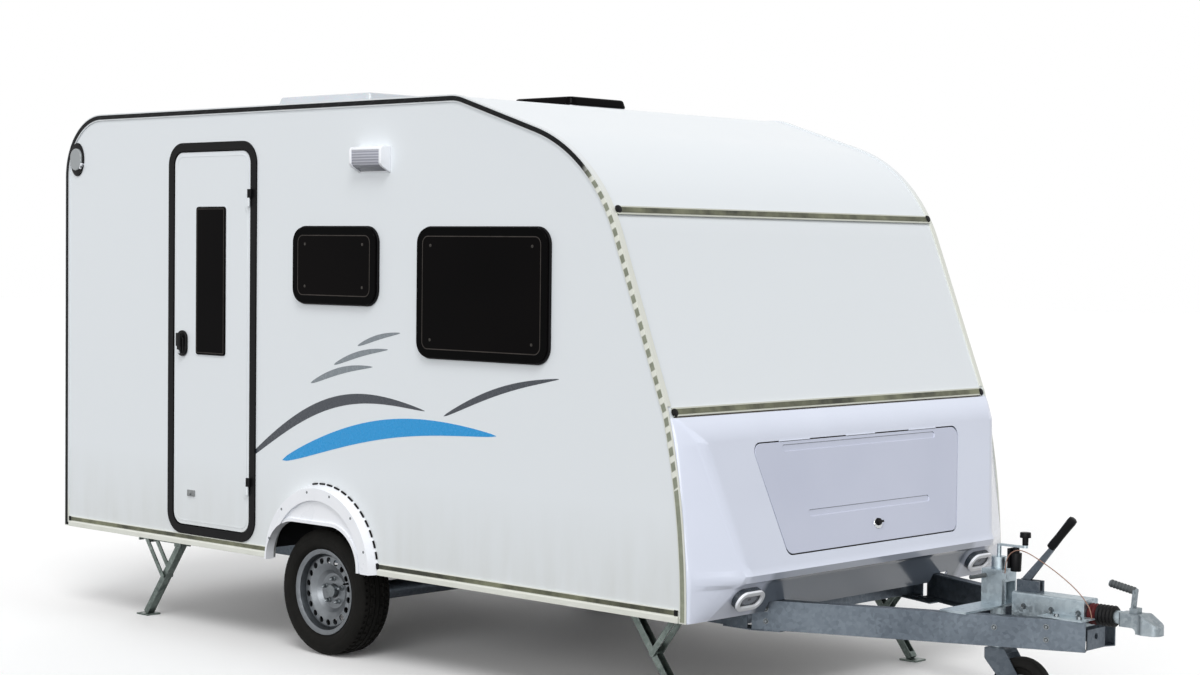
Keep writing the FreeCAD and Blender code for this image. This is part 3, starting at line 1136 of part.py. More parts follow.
# ---------------------------------------------------------------- corner steadies
rear_y = side_y - d.steady_rear_in
front_y = side_y - d.steady_front_in
STEADIES = {  # name: pivot x, y, way the foot points along X
    "rear_right": (d.steady_rear_x, -rear_y, -1), "rear_left": (d.steady_rear_x, rear_y, -1),
    "front_right": (d.steady_front_x, -front_y, 1), "front_left": (d.steady_front_x, front_y, 1)}
leg_drop = d.steady_z - d.foot_t
leg_run = root(d.steady_leg * d.steady_leg - leg_drop * leg_drop)
leg_angle = arctan(leg_drop / leg_run)
nut_run = leg_run * d.steady_link / d.steady_leg * 2
bases = []
for name, (pivot_x, y, way) in STEADIES.items():
    beam_l = nut_run + 90
    low_x = pivot_x if way > 0 else pivot_x - beam_l
    lug_x = pivot_x - 26
    base = [block(low_x, y - d.base_w / 2, d.floor_z - 30, beam_l, d.base_w, Size(30))]
    for lug_y in (y - 32, y + 24):
        base.append(block(lug_x, lug_y, d.steady_z - 16, d.lug_l, d.lug_t, d.floor_z - d.steady_z + 16))
    pin = rod(pivot_x, y - 30, d.steady_z, d.steady_pin_r, Size(60), "Y")
    spindle_x = pivot_x + 12 if way > 0 else pivot_x - beam_l + 4
    spindle = rod(spindle_x, y, d.steady_z, Size(8), beam_l - 16, "X")
    end_x = low_x + beam_l - 10 if way > 0 else low_x
    end_plate = block(end_x, y - 14, d.steady_z - 14, Size(10), Size(28), d.floor_z - d.steady_z + 14)
    nut = block(pivot_x + way * nut_run - 16, y - 17, d.steady_z - 16, d.nut_l, d.nut_w, d.nut_l)
    bases.append(fused(*base, pin, spindle, end_plate, nut))
    leg = piece(f"leg_arm_{name}")
    pad(outline(sketch_on(leg, "XZ_Plane"), [
        (Size(-18), -d.leg_half, 14), (d.steady_leg - 4, -d.leg_half, 0), (d.steady_leg - 4, d.leg_half, 0),
        (Size(-18), d.leg_half, 14)]), d.leg_w, 0)
    pocket(outline(sketch_on(leg, "XZ_Plane"), [
        (Size(-40), d.leg_wall - d.leg_half, 0), (d.steady_leg - 30, d.leg_wall - d.leg_half, 0),
        (d.steady_leg - 30, Size(30), 0), (Size(-40), Size(30), 0)]), d.leg_w - 2 * d.leg_wall, 0)
    pocket(circle(sketch_on(leg, "XZ_Plane"), Size(0), Size(0), d.steady_pin_r + 0.05), d.leg_w + 4, 0)
    pocket(circle(sketch_on(leg, "XZ_Plane"), d.steady_link, Size(0), d.brace_pin_r + 0.05), d.leg_w + 4, 0)
    place(leg, pivot_x, y, d.steady_z, (0, 1, 0), leg_angle)
    if way < 0:
        leg.Placement = Placement(Vector(0, 0, 0), Rotation(Vector(0, 0, 1), 180)
                                  * Rotation(Vector(0, 1, 0), float(leg_angle)))
        place(leg, pivot_x, y, d.steady_z)
    foot_x = pivot_x + way * leg_run
    foot = block(foot_x - d.foot_l / 2, y - d.foot_w / 2, Size(0), d.foot_l, d.foot_w, d.foot_t)
    node(fused(leg, foot), f"steady_leg_{name}")
    pin_x = pivot_x + way * nut_run / 2
    pin_z = d.steady_z - leg_drop * d.steady_link / d.steady_leg
    brace = piece(f"steady_straps_{name}")
    pad(box_outline(sketch_on(brace, "XZ_Plane"), -d.strap_h / 2, -d.strap_h / 2, d.steady_link + d.strap_h,
                    d.strap_h, Size(12)), d.strap_w, 0)
    pocket(box_outline(sketch_on(brace, "XZ_Plane"), Size(-20), Size(-20), d.steady_link + 50, Size(40)),
           d.strap_in, 0)
    place(brace, pin_x, y, pin_z)
    turn = Rotation(Vector(0, 1, 0), -float(leg_angle))
    brace.Placement = Placement(Vector(0, 0, 0), turn if way > 0 else Rotation(Vector(0, 0, 1), 180) * turn)
    place(brace, pin_x, y, pin_z)
    node(fused(brace, rod(pin_x, y - 29, pin_z, d.brace_pin_r, Size(58), "Y")), f"steady_brace_{name}")
node(fused(*bases), "steady_bases")

# ---------------------------------------------------------------- check and write
doc.recompute()
for item in doc.Objects:
    if "Invalid" in item.State or "Error" in item.State:
        raise RuntimeError(f"{item.Label} failed: {item.State}")
for item in NODES:
    if item.Shape.isNull() or not item.Shape.isValid():
        raise RuntimeError(f"{item.Label} has no valid shape")
    item.Shape.exportStep(f"parts/{item.Label}.step")
print(len(NODES), "sub-parts")
print({item.Label: (round(item.Shape.Volume / 1e6, 2), len(item.Shape.Solids)) for item in NODES})
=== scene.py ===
import math

import bmesh
import bpy
from mathutils import Matrix, Vector


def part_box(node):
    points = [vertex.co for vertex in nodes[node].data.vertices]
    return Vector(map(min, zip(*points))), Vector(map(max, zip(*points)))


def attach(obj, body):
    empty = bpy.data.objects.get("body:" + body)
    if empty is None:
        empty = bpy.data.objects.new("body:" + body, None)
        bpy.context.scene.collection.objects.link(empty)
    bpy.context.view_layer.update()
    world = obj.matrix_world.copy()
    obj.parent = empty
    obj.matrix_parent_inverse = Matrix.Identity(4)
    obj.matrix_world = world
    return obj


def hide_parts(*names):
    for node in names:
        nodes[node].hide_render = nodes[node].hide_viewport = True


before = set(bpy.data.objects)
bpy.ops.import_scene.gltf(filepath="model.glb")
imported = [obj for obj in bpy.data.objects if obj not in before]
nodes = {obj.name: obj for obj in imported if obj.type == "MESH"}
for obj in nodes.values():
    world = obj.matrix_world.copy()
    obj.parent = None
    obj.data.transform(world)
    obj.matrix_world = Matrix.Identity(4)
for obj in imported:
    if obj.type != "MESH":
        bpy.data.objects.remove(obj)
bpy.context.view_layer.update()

# ------------------------------------------------------------------ walls and roof
# Sandwich boards of foam and plywood under a coil-coated aluminium skin, bonded in a press. The
# skin is a smooth satin white, with the slow ripple of thin sheet and road dust near its foot.


def linear(code):
    """An sRGB hex colour as the linear colour that a shader takes."""
    parts = [int(code[i:i + 2], 16) / 255 for i in (1, 3, 5)]
    return [p / 12.92 if p <= 0.04045 else ((p + 0.055) / 1.055) ** 2.4 for p in parts] + [1.0]


def feed(material, node, values):
    """Sets a node's inputs, each from a value, a hex colour, a socket or another node's main output."""
    for key, value in values.items():
        if isinstance(value, bpy.types.Node):
            value = next(socket for socket in value.outputs if socket.enabled)
        if isinstance(value, bpy.types.NodeSocket):
            material.node_tree.links.new(value, node.inputs[key])
        else:
            node.inputs[key].default_value = linear(value) if isinstance(value, str) else value
    return node


def add_node(material, kind, values=None, **settings):
    """Adds a node to a material, with what goes into its inputs and its settings."""
    node = material.node_tree.nodes.new("ShaderNode" + kind)
    for key, value in settings.items():
        setattr(node, key, value)
    return feed(material, node, values or {})


def finish(name, code, roughness, values=None):
    """Starts a material: its shader, the values that are the same all over, and where it is read."""
    material = bpy.data.materials.new(name)
    material.use_nodes = True
    shader = material.node_tree.nodes["Principled BSDF"]
    feed(material, shader, {"Base Color": code, "Roughness": roughness, **(values or {})})
    return material, shader, add_node(material, "TexCoord").outputs["Object"]


def paint(material, *names):
    """Gives CAD nodes a material."""
    for name in names:
        nodes[name].data.materials.clear()
        nodes[name].data.materials.append(material)


def ease(width, *names, segments=2):
    """Rounds the sharp edges of CAD nodes and shades the rest smooth."""
    for name in names:
        piece = nodes[name]
        piece.data.shade_smooth()
        piece.modifiers.new("weld", "WELD").merge_threshold = 0.00002
        flat = piece.modifiers.new("flat", "DECIMATE")
        flat.decimate_type = "DISSOLVE"
        flat.angle_limit = math.radians(0.6)
        bevel = piece.modifiers.new("ease", "BEVEL")
        bevel.width = width
        bevel.segments = segments
        bevel.limit_method = "ANGLE"
        bevel.angle_limit = math.radians(32)
        piece.modifiers.new("corners", "EDGE_SPLIT").split_angle = math.radians(40)
        piece.modifiers.new("flats", "WEIGHTED_NORMAL").weight = 100


# where a colour Mix node takes its share, and the colours that it goes from and to
mix_by, mix_from, mix_to = 0, 6, 7
skin, shader, at = finish("coil_coated_aluminium", "#E2E7EB", 0.3, {
    "Specular IOR Level": 0.3, "Coat Weight": 0.1, "Coat Roughness": 0.15})
height = add_node(skin, "SeparateXYZ", {"Vector": at}).outputs["Z"]
splash = add_node(skin, "MapRange", {"Value": height, "From Min": 0.85, "From Max": 0.42})
streaks = add_node(skin, "Mapping", {"Vector": at, "Scale": (1, 1, 0.2)})
dirt = add_node(skin, "TexNoise", {"Vector": streaks, "Scale": 12.0, "Detail": 6.0})
dust = add_node(skin, "Math", {0: splash, 1: dirt}, operation="MULTIPLY")
tone = add_node(skin, "Mix", {mix_by: dust, mix_from: "#E2E7EB", mix_to: "#CDD0CE"}, data_type="RGBA")
ripple = add_node(skin, "TexNoise", {"Vector": at, "Scale": 2.2, "Detail": 2.0})
satin = add_node(skin, "MapRange", {"Value": ripple, "To Min": 0.26, "To Max": 0.38})
wave = add_node(skin, "Bump", {"Height": ripple, "Distance": 0.0015})
feed(skin, shader, {"Base Color": tone, "Roughness": satin, "Normal": wave})
boards = ("side_wall_right", "side_wall_left", "rear_wall", "front_wall", "roof_panel")
paint(skin, *boards)
ease(0.0006, *boards)

# ------------------------------------------------------------------ vinyl stripes
# Cut vinyl film, laid on both side walls: three long waves and a row of slanted dashes. Film is a
# tenth of a millimetre thick and a touch glossier than the skin under it.


def mottled(name, light, roughness, scale, detail, values=None, dark=None, satin=None, grain=None,
            stretch=None, distortion=0.0):
    """A whole finish: its tone, gloss and height follow one cloud of patches, which may be drawn out."""
    material, shader, at = finish(name, light, roughness, values)
    if stretch:
        at = add_node(material, "Mapping", {"Vector": at, "Scale": stretch})
    cloud = add_node(material, "TexNoise", {
        "Vector": at, "Scale": scale, "Detail": detail, "Distortion": distortion})
    if dark:
        tone = add_node(material, "Mix", {mix_by: cloud, mix_from: dark, mix_to: light}, data_type="RGBA")
        feed(material, shader, {"Base Color": tone})
    if satin:
        sheen = add_node(material, "MapRange", {"Value": cloud, "To Min": satin[0], "To Max": satin[1]})
        feed(material, shader, {"Roughness": sheen})
    if grain:
        pores = add_node(material, "Bump", {"Height": cloud, "Distance": grain})
        feed(material, shader, {"Normal": pores})
    return material


def fit(name, mesh, material, body, slot, *stands_for):
    """Makes a piece of a bmesh. It takes a finish, rides on a body and may stand for CAD nodes."""
    bmesh.ops.recalc_face_normals(mesh, faces=mesh.faces[:])
    data = bpy.data.meshes.new(name)
    mesh.to_mesh(data)
    mesh.free()
    data.shade_smooth()
    data.set_sharp_from_angle(angle=math.radians(40))
    data.materials.append(material)
    piece = bpy.data.objects.new(name, data)
    bpy.context.collection.objects.link(piece)
    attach(piece, body)
    if stands_for:
        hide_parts(*stands_for)


def thicken(mesh, faces, by):
    """Raises flat faces by a vector and closes their sides."""
    raised = bmesh.ops.extrude_face_region(mesh, geom=faces)["geom"]
    bmesh.ops.translate(mesh, vec=by, verts=[v for v in raised if isinstance(v, bmesh.types.BMVert)])


def film(mesh, side, start, end, bow, width):
    """Adds a tapered strip on a side wall, from (x, z) to (x, z), bowed upwards in the middle."""
    steps = 48
    strip = bmesh.new()
    bmesh.ops.create_grid(strip, x_segments=steps, y_segments=1, size=1)
    for v in strip.verts:
        share = (v.co.x + 1) / 2
        half = width / 2 * math.sin(math.pi * share ** 0.8) ** 0.7 + film_tip
        height = start[1] + (end[1] - start[1]) * share + bow * math.sin(math.pi * share) + half * v.co.y
        v.co = Vector((start[0] + (end[0] - start[0]) * share, side * wall_y, height))
    thicken(strip, strip.faces[:], Vector((0, side * film_t, 0)))
    spare = bpy.data.meshes.new("strip")
    strip.to_mesh(spare)
    strip.free()
    mesh.from_mesh(spare)
    bpy.data.meshes.remove(spare)


both_sides = ((-1, "right"), (1, "left"))
wall_y, film_t, film_tip = 1.1002, 0.0003, 0.0008
film_looks = {"slate": "#3A3F47", "sky": "#1093D4", "silver": "#7E868C"}
# each wave's start and end as (x, z), its bow and its width
film_waves = {
    "slate": [((-1.32, 0.86), (-0.10, 1.155), 0.15, 0.05), ((0.02, 1.14), (0.70, 1.33), 0.03, 0.03)],
    "sky": [((-1.06, 0.875), (0.34, 1.075), 0.085, 0.085)],
    "silver": [((-0.86, 1.24), (-0.44, 1.33), 0.02, 0.03), ((-0.70, 1.33), (-0.34, 1.41), 0.015, 0.026),
               ((-0.54, 1.42), (-0.26, 1.485), 0.01, 0.022)]}
for look, code in film_looks.items():
    vinyl = mottled("vinyl_film_" + look, code, 0.25, 40.0, 3.0, satin=(0.2, 0.34))
    for side, name in both_sides:
        stripes = bmesh.new()
        for start, end, bow, width in film_waves[look]:
            film(stripes, side, start, end, bow, width)
        fit(f"stripes_{look}_{name}", stripes, vinyl, "caravan", "body_white")

# ------------------------------------------------------------------ floor, bulkhead and wheel boxes
# The floor is sealed birch plywood, dark below from its wood preservative. The locker bulkhead is
# bare poplar board, and the wheel boxes are folded from grained black plastic sheet.
ply = mottled("sealed_plywood", "#463C33", 0.6, 16.0, 7.0, dark="#1E1A17", grain=0.0004,
              stretch=(0.1, 1, 1), distortion=0.6)
paint(ply, "floor_panel")
board = mottled("poplar_board", "#D8CAB0", 0.55, 22.0, 7.0, dark="#B39D78",
                stretch=(1, 0.12, 1), distortion=0.8)
paint(board, "locker_bulkhead")
sheet, shader, at = finish("grained_black_sheet", "#131417", 0.6, {"Specular IOR Level": 0.3})
leather = add_node(sheet, "TexVoronoi", {"Vector": at, "Scale": 500.0})
dents = add_node(sheet, "Bump", {"Height": leather, "Distance": 0.0003})
feed(sheet, shader, {"Normal": dents})
paint(sheet, "wheel_housings")
ease(0.003, "floor_panel", "locker_bulkhead", "wheel_housings")

# ------------------------------------------------------------------ moulded front and locker lid
# Both are vacuum formed from ABS with a gloss acrylic cap: a faintly lavender white, very smooth,
# and thinned and slightly drawn over its corners. The lid hangs on two rods at its upper edge.
for piece, dark, light in (("front_moulding", "#D4DAEA", "#DEE4F3"), ("locker_lid", "#BFC5D9", "#CBD0E2")):
    gloss, shader, at = finish("gloss_acrylic_" + piece, light, 0.2, {
        "Coat Weight": 0.4, "Coat Roughness": 0.08})
    draw = add_node(gloss, "TexNoise", {"Vector": at, "Scale": 3.0, "Detail": 1.5})
    clean = add_node(gloss, "Mix", {mix_by: draw, mix_from: dark, mix_to: light}, data_type="RGBA")
    # painted shade: faces that turn downwards, between the lamps, are greyed as if in shadow
    way = add_node(gloss, "SeparateXYZ", {"Vector": add_node(gloss, "NewGeometry").outputs["Normal"]})
    under = add_node(gloss, "MapRange", {
        "Value": way.outputs["Z"], "From Min": -0.25, "From Max": -0.42, "To Max": 0.95})
    across = add_node(gloss, "SeparateXYZ", {"Vector": at})
    aside = add_node(gloss, "Math", {0: across.outputs["Y"]}, operation="ABSOLUTE")
    between = add_node(gloss, "MapRange", {"Value": aside, "From Min": 0.73, "From Max": 0.69})
    painted_under_shade = add_node(gloss, "Math", {0: under, 1: between}, operation="MULTIPLY")
    tone = add_node(gloss, "Mix", {mix_by: painted_under_shade, mix_from: clean, mix_to: "#626C78"}, data_type="RGBA")
    pull = add_node(gloss, "Bump", {"Height": draw, "Distance": 0.002})
    feed(gloss, shader, {"Base Color": tone, "Normal": pull})
    paint(gloss, piece)
ease(0.004, "front_moulding", "locker_lid", segments=3)

# ------------------------------------------------------------------ locker lock
# A die-cast barrel lock with a black turning cover, on an oval chromed plate that two rivets hold
# to the lid. Chrome shows the floor and sky, and the cover is dull moulded nylon.


def rod(mesh, start, end, radius, end_radius=None, sides=24):
    """Adds a closed round bar between two points, tapered to end_radius."""
    start, end = Vector(start), Vector(end)
    along = (end - start).to_track_quat("Z", "Y").to_matrix().to_4x4()
    return bmesh.ops.create_cone(
        mesh, cap_ends=True, segments=sides, radius1=radius, depth=(end - start).length,
        radius2=radius if end_radius is None else end_radius,
        matrix=Matrix.Translation((start + end) / 2) @ along)["verts"]


def slab(mesh, low, high):
    """Adds a block between two corners."""
    low, high = Vector(low), Vector(high)
    sized = Matrix.Translation((low + high) / 2) @ Matrix.Diagonal((*(high - low), 1))
    return bmesh.ops.create_cube(mesh, size=1, matrix=sized)["verts"]


def round_off(mesh, width, segments=3):
    """Rounds every sharp edge of a mesh."""
    sharp = [e for e in mesh.edges if e.is_manifold and e.calc_face_angle() > math.radians(35)]
    bmesh.ops.bevel(mesh, geom=sharp, offset=width, offset_type="OFFSET", segments=segments, profile=0.5,
                    affect="EDGES", clamp_overlap=True, material=-1)


def surface_at(node, point, facing):
    """The place on a CAD node that is met from outside, looking against facing at a point."""
    facing = Vector(facing).normalized()
    hit, place = nodes[node].ray_cast(Vector(point) + facing * 0.5, -facing, distance=1.0)[:2]
    if not hit:
        raise ValueError(f"nothing of {node} is met at {tuple(point)}")
    return place


chrome = mottled("chromed_zinc", "#C9CCCF", 0.12, 120.0, 4.0, {"Metallic": 1.0}, satin=(0.08, 0.24))
nylon = mottled("black_nylon", "#08080A", 0.45, 260.0, 3.0, {"Specular IOR Level": 0.15},
                satin=(0.36, 0.52), grain=0.0002)
face_out = Vector((0.9801, 0, 0.1984))
face_up = Vector((-0.1984, 0, 0.9801))
face_lean = math.radians(-11.4)
lock = surface_at("locker_lid", (1.47, 0.03, 0.722), face_out)
plate = bmesh.new()
rod(plate, lock - face_out * 0.001, lock + face_out * 0.003, 0.024, 0.022, 32)
bmesh.ops.scale(plate, vec=(1, 1.25, 1), space=Matrix.Translation(-lock), verts=plate.verts[:])
for y in (-0.021, 0.021):
    rivet = lock + Vector((0, y, 0))
    rod(plate, rivet, rivet + face_out * 0.005, 0.004, 0.002, 12)
round_off(plate, 0.0008, 2)
fit("lock_plate", plate, chrome, "locker_lid", "trim_aluminium")
cover = bmesh.new()
pivot = lock + face_up * 0.006
rod(cover, pivot, pivot + face_out * 0.014, 0.017, 0.014, 32)
bar = slab(cover, (-0.004, -0.020, -0.005), (0.010, 0.020, 0.005))
bmesh.ops.rotate(cover, matrix=Matrix.Rotation(face_lean, 3, "Y"), verts=bar)
bmesh.ops.translate(cover, vec=pivot + face_out * 0.010, verts=bar)
round_off(cover, 0.002, 3)
fit("lock_cover", cover, nylon, "locker_lid", "black_plastic")

# ------------------------------------------------------------------ awning rails
# Extruded aluminium rails, screwed over the joint of wall and roof on a bead of sealant. A plastic
# infill covers the screws: black over the roof, slanted olive nibs down the front, olive at its foot.


def inlay(node, facing, border, height, ring=None, where=None):
    """A strip that follows a CAD face: set in by a border, whole or as a ring, and raised."""
    mesh = bmesh.new()
    mesh.from_mesh(nodes[node].data)
    bmesh.ops.remove_doubles(mesh, verts=mesh.verts[:], dist=0.00002)
    facing = Vector(facing).normalized()
    other = [f for f in mesh.faces
             if f.normal.dot(facing) < 0.9995 or (where and not where(f.calc_center_median()))]
    bmesh.ops.delete(mesh, geom=other, context="FACES")
    bmesh.ops.dissolve_limit(mesh, angle_limit=math.radians(0.5), verts=mesh.verts[:], edges=mesh.edges[:])
    if border:
        edge = bmesh.ops.inset_region(mesh, faces=mesh.faces[:], thickness=border, use_boundary=True,
                                      use_even_offset=True)["faces"]
        bmesh.ops.delete(mesh, geom=edge, context="FACES")
    if ring:
        band = set(bmesh.ops.inset_region(mesh, faces=mesh.faces[:], thickness=ring, use_boundary=True,
                                          use_even_offset=True)["faces"])
        bmesh.ops.delete(mesh, geom=[f for f in mesh.faces if f not in band], context="FACES")
    thicken(mesh, mesh.faces[:], facing * height)
    return mesh


cream, shader, at = finish("coated_rail_aluminium", "#DEDFD4", 0.35, {"Coat Weight": 0.2})
run = add_node(cream, "Mapping", {"Vector": at, "Scale": (3, 120, 3)})
die = add_node(cream, "TexNoise", {"Vector": run, "Scale": 4.0, "Detail": 4.0})
faded = add_node(cream, "Mix", {mix_by: die, mix_from: "#D0D2C8", mix_to: "#E3E5DE"}, data_type="RGBA")
place = add_node(cream, "SeparateXYZ", {"Vector": at})
# the coating has yellowed on the front corners, and is still white over the roof and at the rear
aged = add_node(cream, "MapRange", {"Value": place.outputs["X"], "From Min": 0.80, "From Max": 1.00})
low = add_node(cream, "MapRange", {"Value": place.outputs["Z"], "From Min": 0.60, "From Max": 0.48})
both = add_node(cream, "Math", {0: aged, 1: low}, operation="MAXIMUM")
tone = add_node(cream, "Mix", {mix_by: both, mix_from: "#DDE1E4", mix_to: faded}, data_type="RGBA")
satin = add_node(cream, "MapRange", {"Value": die, "To Min": 0.28, "To Max": 0.42})
feed(cream, shader, {"Base Color": tone, "Roughness": satin})
paint(cream, "awning_rails")
ease(0.0015, "awning_rails")

ribbed, shader, at = finish("ribbed_pvc_infill", "#8B8F80", 0.5, {"Specular IOR Level": 0.15})
# one nib to 52 mm of a front corner, leaning back by its share of x
beat = add_node(ribbed, "VectorMath", {0: at, 1: (-9.3, 0, 15.5)}, operation="DOT_PRODUCT")
phase = add_node(ribbed, "Math", {0: beat}, operation="FRACT")
nib = add_node(ribbed, "Math", {0: phase, 1: 0.5}, operation="PINGPONG")
place = add_node(ribbed, "SeparateXYZ", {"Vector": at})
foot = add_node(ribbed, "MapRange", {
    "Value": place.outputs["Z"], "From Min": 0.98, "From Max": 0.86, "To Max": 0.4})
raised = add_node(ribbed, "Math", {0: nib, 1: foot}, operation="ADD")
share = add_node(ribbed, "MapRange", {"Value": raised, "From Min": 0.17, "From Max": 0.25})
wear = add_node(ribbed, "TexNoise", {"Vector": at, "Scale": 30.0, "Detail": 5.0})
olive = add_node(ribbed, "Mix", {mix_by: wear, mix_from: "#6F7466", mix_to: "#A3A796"}, data_type="RGBA")
nibbed = add_node(ribbed, "Mix", {mix_by: share, mix_from: "#E3E5DC", mix_to: olive}, data_type="RGBA")
behind = add_node(ribbed, "MapRange", {"Value": place.outputs["X"], "From Min": 0.88, "From Max": 0.82})
tone = add_node(ribbed, "Mix", {mix_by: behind, mix_from: nibbed, mix_to: "#0B0C0E"}, data_type="RGBA")
step = add_node(ribbed, "Bump", {"Height": share, "Distance": 0.0012})
feed(ribbed, shader, {"Base Color": tone, "Normal": step})
for side, name in both_sides:
    infill = inlay("awning_rails", (0, side, 0), 0.006, 0.0016, where=lambda c: c.y * side > 1.1)
    fit("rail_infill_" + name, infill, ribbed, "caravan", "trim_aluminium")

# ------------------------------------------------------------------ seam trims
# Flat aluminium trims cover the two joints across the front. Each holds a dark olive rubber insert,
# and a black moulded cap closes each end.
bright = mottled("bright_rolled_aluminium", "#C6C8BE", 0.32, 6.0, 4.0, {"Metallic": 1.0},
                 satin=(0.24, 0.44), stretch=(60, 1, 60))
paint(bright, "seam_trims")
ease(0.0015, "seam_trims")
insert, shader, at = finish("olive_rubber_insert", "#4A4D40", 0.5, {"Specular IOR Level": 0.3})
patches = add_node(insert, "TexNoise", {"Vector": at, "Scale": 5.0, "Detail": 6.0, "Roughness": 0.6})
faded = add_node(insert, "MapRange", {"Value": patches, "From Min": 0.36, "From Max": 0.66})
tone = add_node(insert, "Mix", {mix_by: faded, mix_from: "#33352C", mix_to: "#7E8069"}, data_type="RGBA")
feed(insert, shader, {"Base Color": tone})
front_out = Vector((0.929, 0, 0.370))
for name, low, high in (("lower", 1.1, 1.5), ("upper", 1.9, 2.2)):
    strip = inlay("seam_trims", front_out, 0.007, 0.002, where=lambda c: low < c.z < high)
    fit("seam_insert_" + name, strip, insert, "caravan", "black_rubber")
trim_end_y = 1.068
caps = bmesh.new()
for x, z in ((0.985, 2.018), (1.298, 1.228)):
    for side in (-1, 1):
        middle = surface_at("seam_trims", (x, side * trim_end_y, z), front_out)
        rod(caps, middle - front_out * 0.004, middle + front_out * 0.004, 0.018, 0.015, 20)
round_off(caps, 0.0015, 2)
fit("seam_caps", caps, nylon, "caravan", "black_plastic")

# ------------------------------------------------------------------ skirt rails
# The lower edge of each wall sits in an aluminium channel with a bright turned lip. An olive cover
# strip hides its screws, and black caps end it at the corners and at the wheel arch.
paint(cream, "skirt_rails")
ease(0.0015, "skirt_rails")
for side, name in both_sides:
    cover = inlay("skirt_rails", (0, side, 0), 0.004, 0.0016, where=lambda c: c.y * side > 1.1 and c.z > 0.43)
    fit("skirt_cover_" + name, cover, insert, "caravan", "black_rubber")
caps = bmesh.new()
cap_y, cap_low, cap_high = 1.1075, 0.443, 0.466
for x in (1.348, -2.756, -1.150, -0.390):
    for side in (-1, 1):
        slab(caps, (x - 0.010, side * cap_y - 0.0015, cap_low), (x + 0.010, side * cap_y + 0.0015, cap_high))
round_off(caps, 0.001, 2)
fit("skirt_caps", caps, nylon, "caravan", "black_plastic")

# ------------------------------------------------------------------ side and rear windows
# Hinged double panes of tinted acrylic in a thick black rubber seal. The two panes are bonded along
# a black border, and the bonding line and four catches show faintly through the tint.
rubber = mottled("epdm_rubber", "#0F0F11", 0.5, 30.0, 5.0, {"Specular IOR Level": 0.12},
                 dark="#050506", satin=(0.42, 0.6))
paint(rubber, "window_seals")
tint = mottled("tinted_acrylic", "#0D0A0A", 0.05, 1.6, 1.0, {"IOR": 1.49, "Specular IOR Level": 0.03},
               dark="#030304")
paint(tint, "windows")
ease(0.005, "window_seals", "windows", segments=3)
border = mottled("black_bonding_border", "#050506", 0.12, 18.0, 3.0, {"Specular IOR Level": 0.03},
                 dark="#020202")
bond = mottled("bonding_line", "#4E4945", 0.2, 18.0, 3.0, {"Specular IOR Level": 0.1}, dark="#262321")
border_wide, bond_wide = 0.034, 0.004
pane_walls = (("right", (0, -1, 0), 1.1), ("left", (0, 1, 0), 1.1), ("rear", (-1, 0, 0), 2.7))
for name, facing, wall_at in pane_walls:
    facing = Vector(facing)
    rim = inlay("windows", facing, 0, 0.0002, ring=border_wide, where=lambda c: c.dot(facing) > wall_at)
    fit("pane_border_" + name, rim, border, "caravan", "tinted_pane")
    line = inlay("windows", facing, border_wide, 0.0004, ring=bond_wide,
                 where=lambda c: c.dot(facing) > wall_at)
    fit("pane_bond_" + name, line, bond, "caravan", "tinted_pane")
# where the outer faces of the side and rear panes lie, and where their catches end
pane_y, catch_y = 1.1238, 1.1246
pane_x, catch_x = -2.8238, -2.8246
# how far a catch stands in from a pane's ends, and from its top and bottom
in_x, in_z = 0.085, 0.075
catches = bmesh.new()
for low_x, high_x, low_z, high_z in ((-0.132, 0.648, 1.389, 1.942), (-0.965, -0.403, 1.603, 1.943)):
    for side in (-1, 1):
        for x in (low_x + in_x, high_x - in_x):
            for z in (low_z + in_z, high_z - in_z):
                rod(catches, (x, side * pane_y, z), (x, side * catch_y, z), 0.0075, 0.005, 16)
for y in (-0.5, 0.5):
    for z in (1.475, 1.845):
        rod(catches, (pane_x, y, z), (catch_x, y, z), 0.0075, 0.005, 16)
smoked = mottled("catch_behind_tint", "#4A4743", 0.3, 90.0, 3.0, {"Specular IOR Level": 0.1},
                 dark="#2A2826")
fit("pane_catches", catches, smoked, "caravan", "tinted_pane")

# ------------------------------------------------------------------ entrance door
# A foam-filled leaf with a pressed white skin, hung in an aluminium frame under a black rubber
# cover. It has a narrow fixed pane, a black moulded handle with a lock and a catch to hold it open.
paint(rubber, "door_frame")
paint(skin, "door_leaf")
paint(tint, "door_window")
paint(nylon, "door_handle")
ease(0.004, "door_frame", "door_window", segments=3)
ease(0.0025, "door_leaf")
ease(0.006, "door_handle", segments=4)
pressing = inlay("door_leaf", (0, -1, 0), 0.016, 0.0012, ring=0.006, where=lambda c: -1.105 < c.y < -1.103)
round_off(pressing, 0.0004, 1)
fit("door_pressing", pressing, skin, "entrance_door", "body_white")
line = inlay("door_window", (0, -1, 0), 0.009, 0.0003, ring=0.003)
fit("door_pane_bond", line, bond, "entrance_door", "tinted_pane")
paddle = bmesh.new()
slab(paddle, (-1.828, -1.1385, 1.372), (-1.792, -1.130, 1.436))
round_off(paddle, 0.004, 3)
fit("door_paddle", paddle, nylon, "entrance_door", "black_plastic")
barrel = bmesh.new()
rod(barrel, (-1.810, -1.130, 1.347), (-1.810, -1.1375, 1.347), 0.0105, 0.009, 24)
slot_face = min(barrel.faces, key=lambda f: f.calc_center_median().y)
bmesh.ops.inset_region(barrel, faces=[slot_face], thickness=0.004, depth=-0.002)
fit("door_lock_barrel", barrel, chrome, "entrance_door", "trim_aluminium")
catch = mottled("grey_catch_nylon", "#909394", 0.4, 90.0, 3.0, dark="#6A6D6E")
keep = bmesh.new()
slab(keep, (-1.768, -1.1105, 0.652), (-1.712, -1.103, 0.682))
rod(keep, (-1.740, -1.106, 0.667), (-1.740, -1.122, 0.667), 0.010, 0.007, 20)
round_off(keep, 0.0015, 2)
fit("door_keep", keep, catch, "entrance_door", "white_plastic")

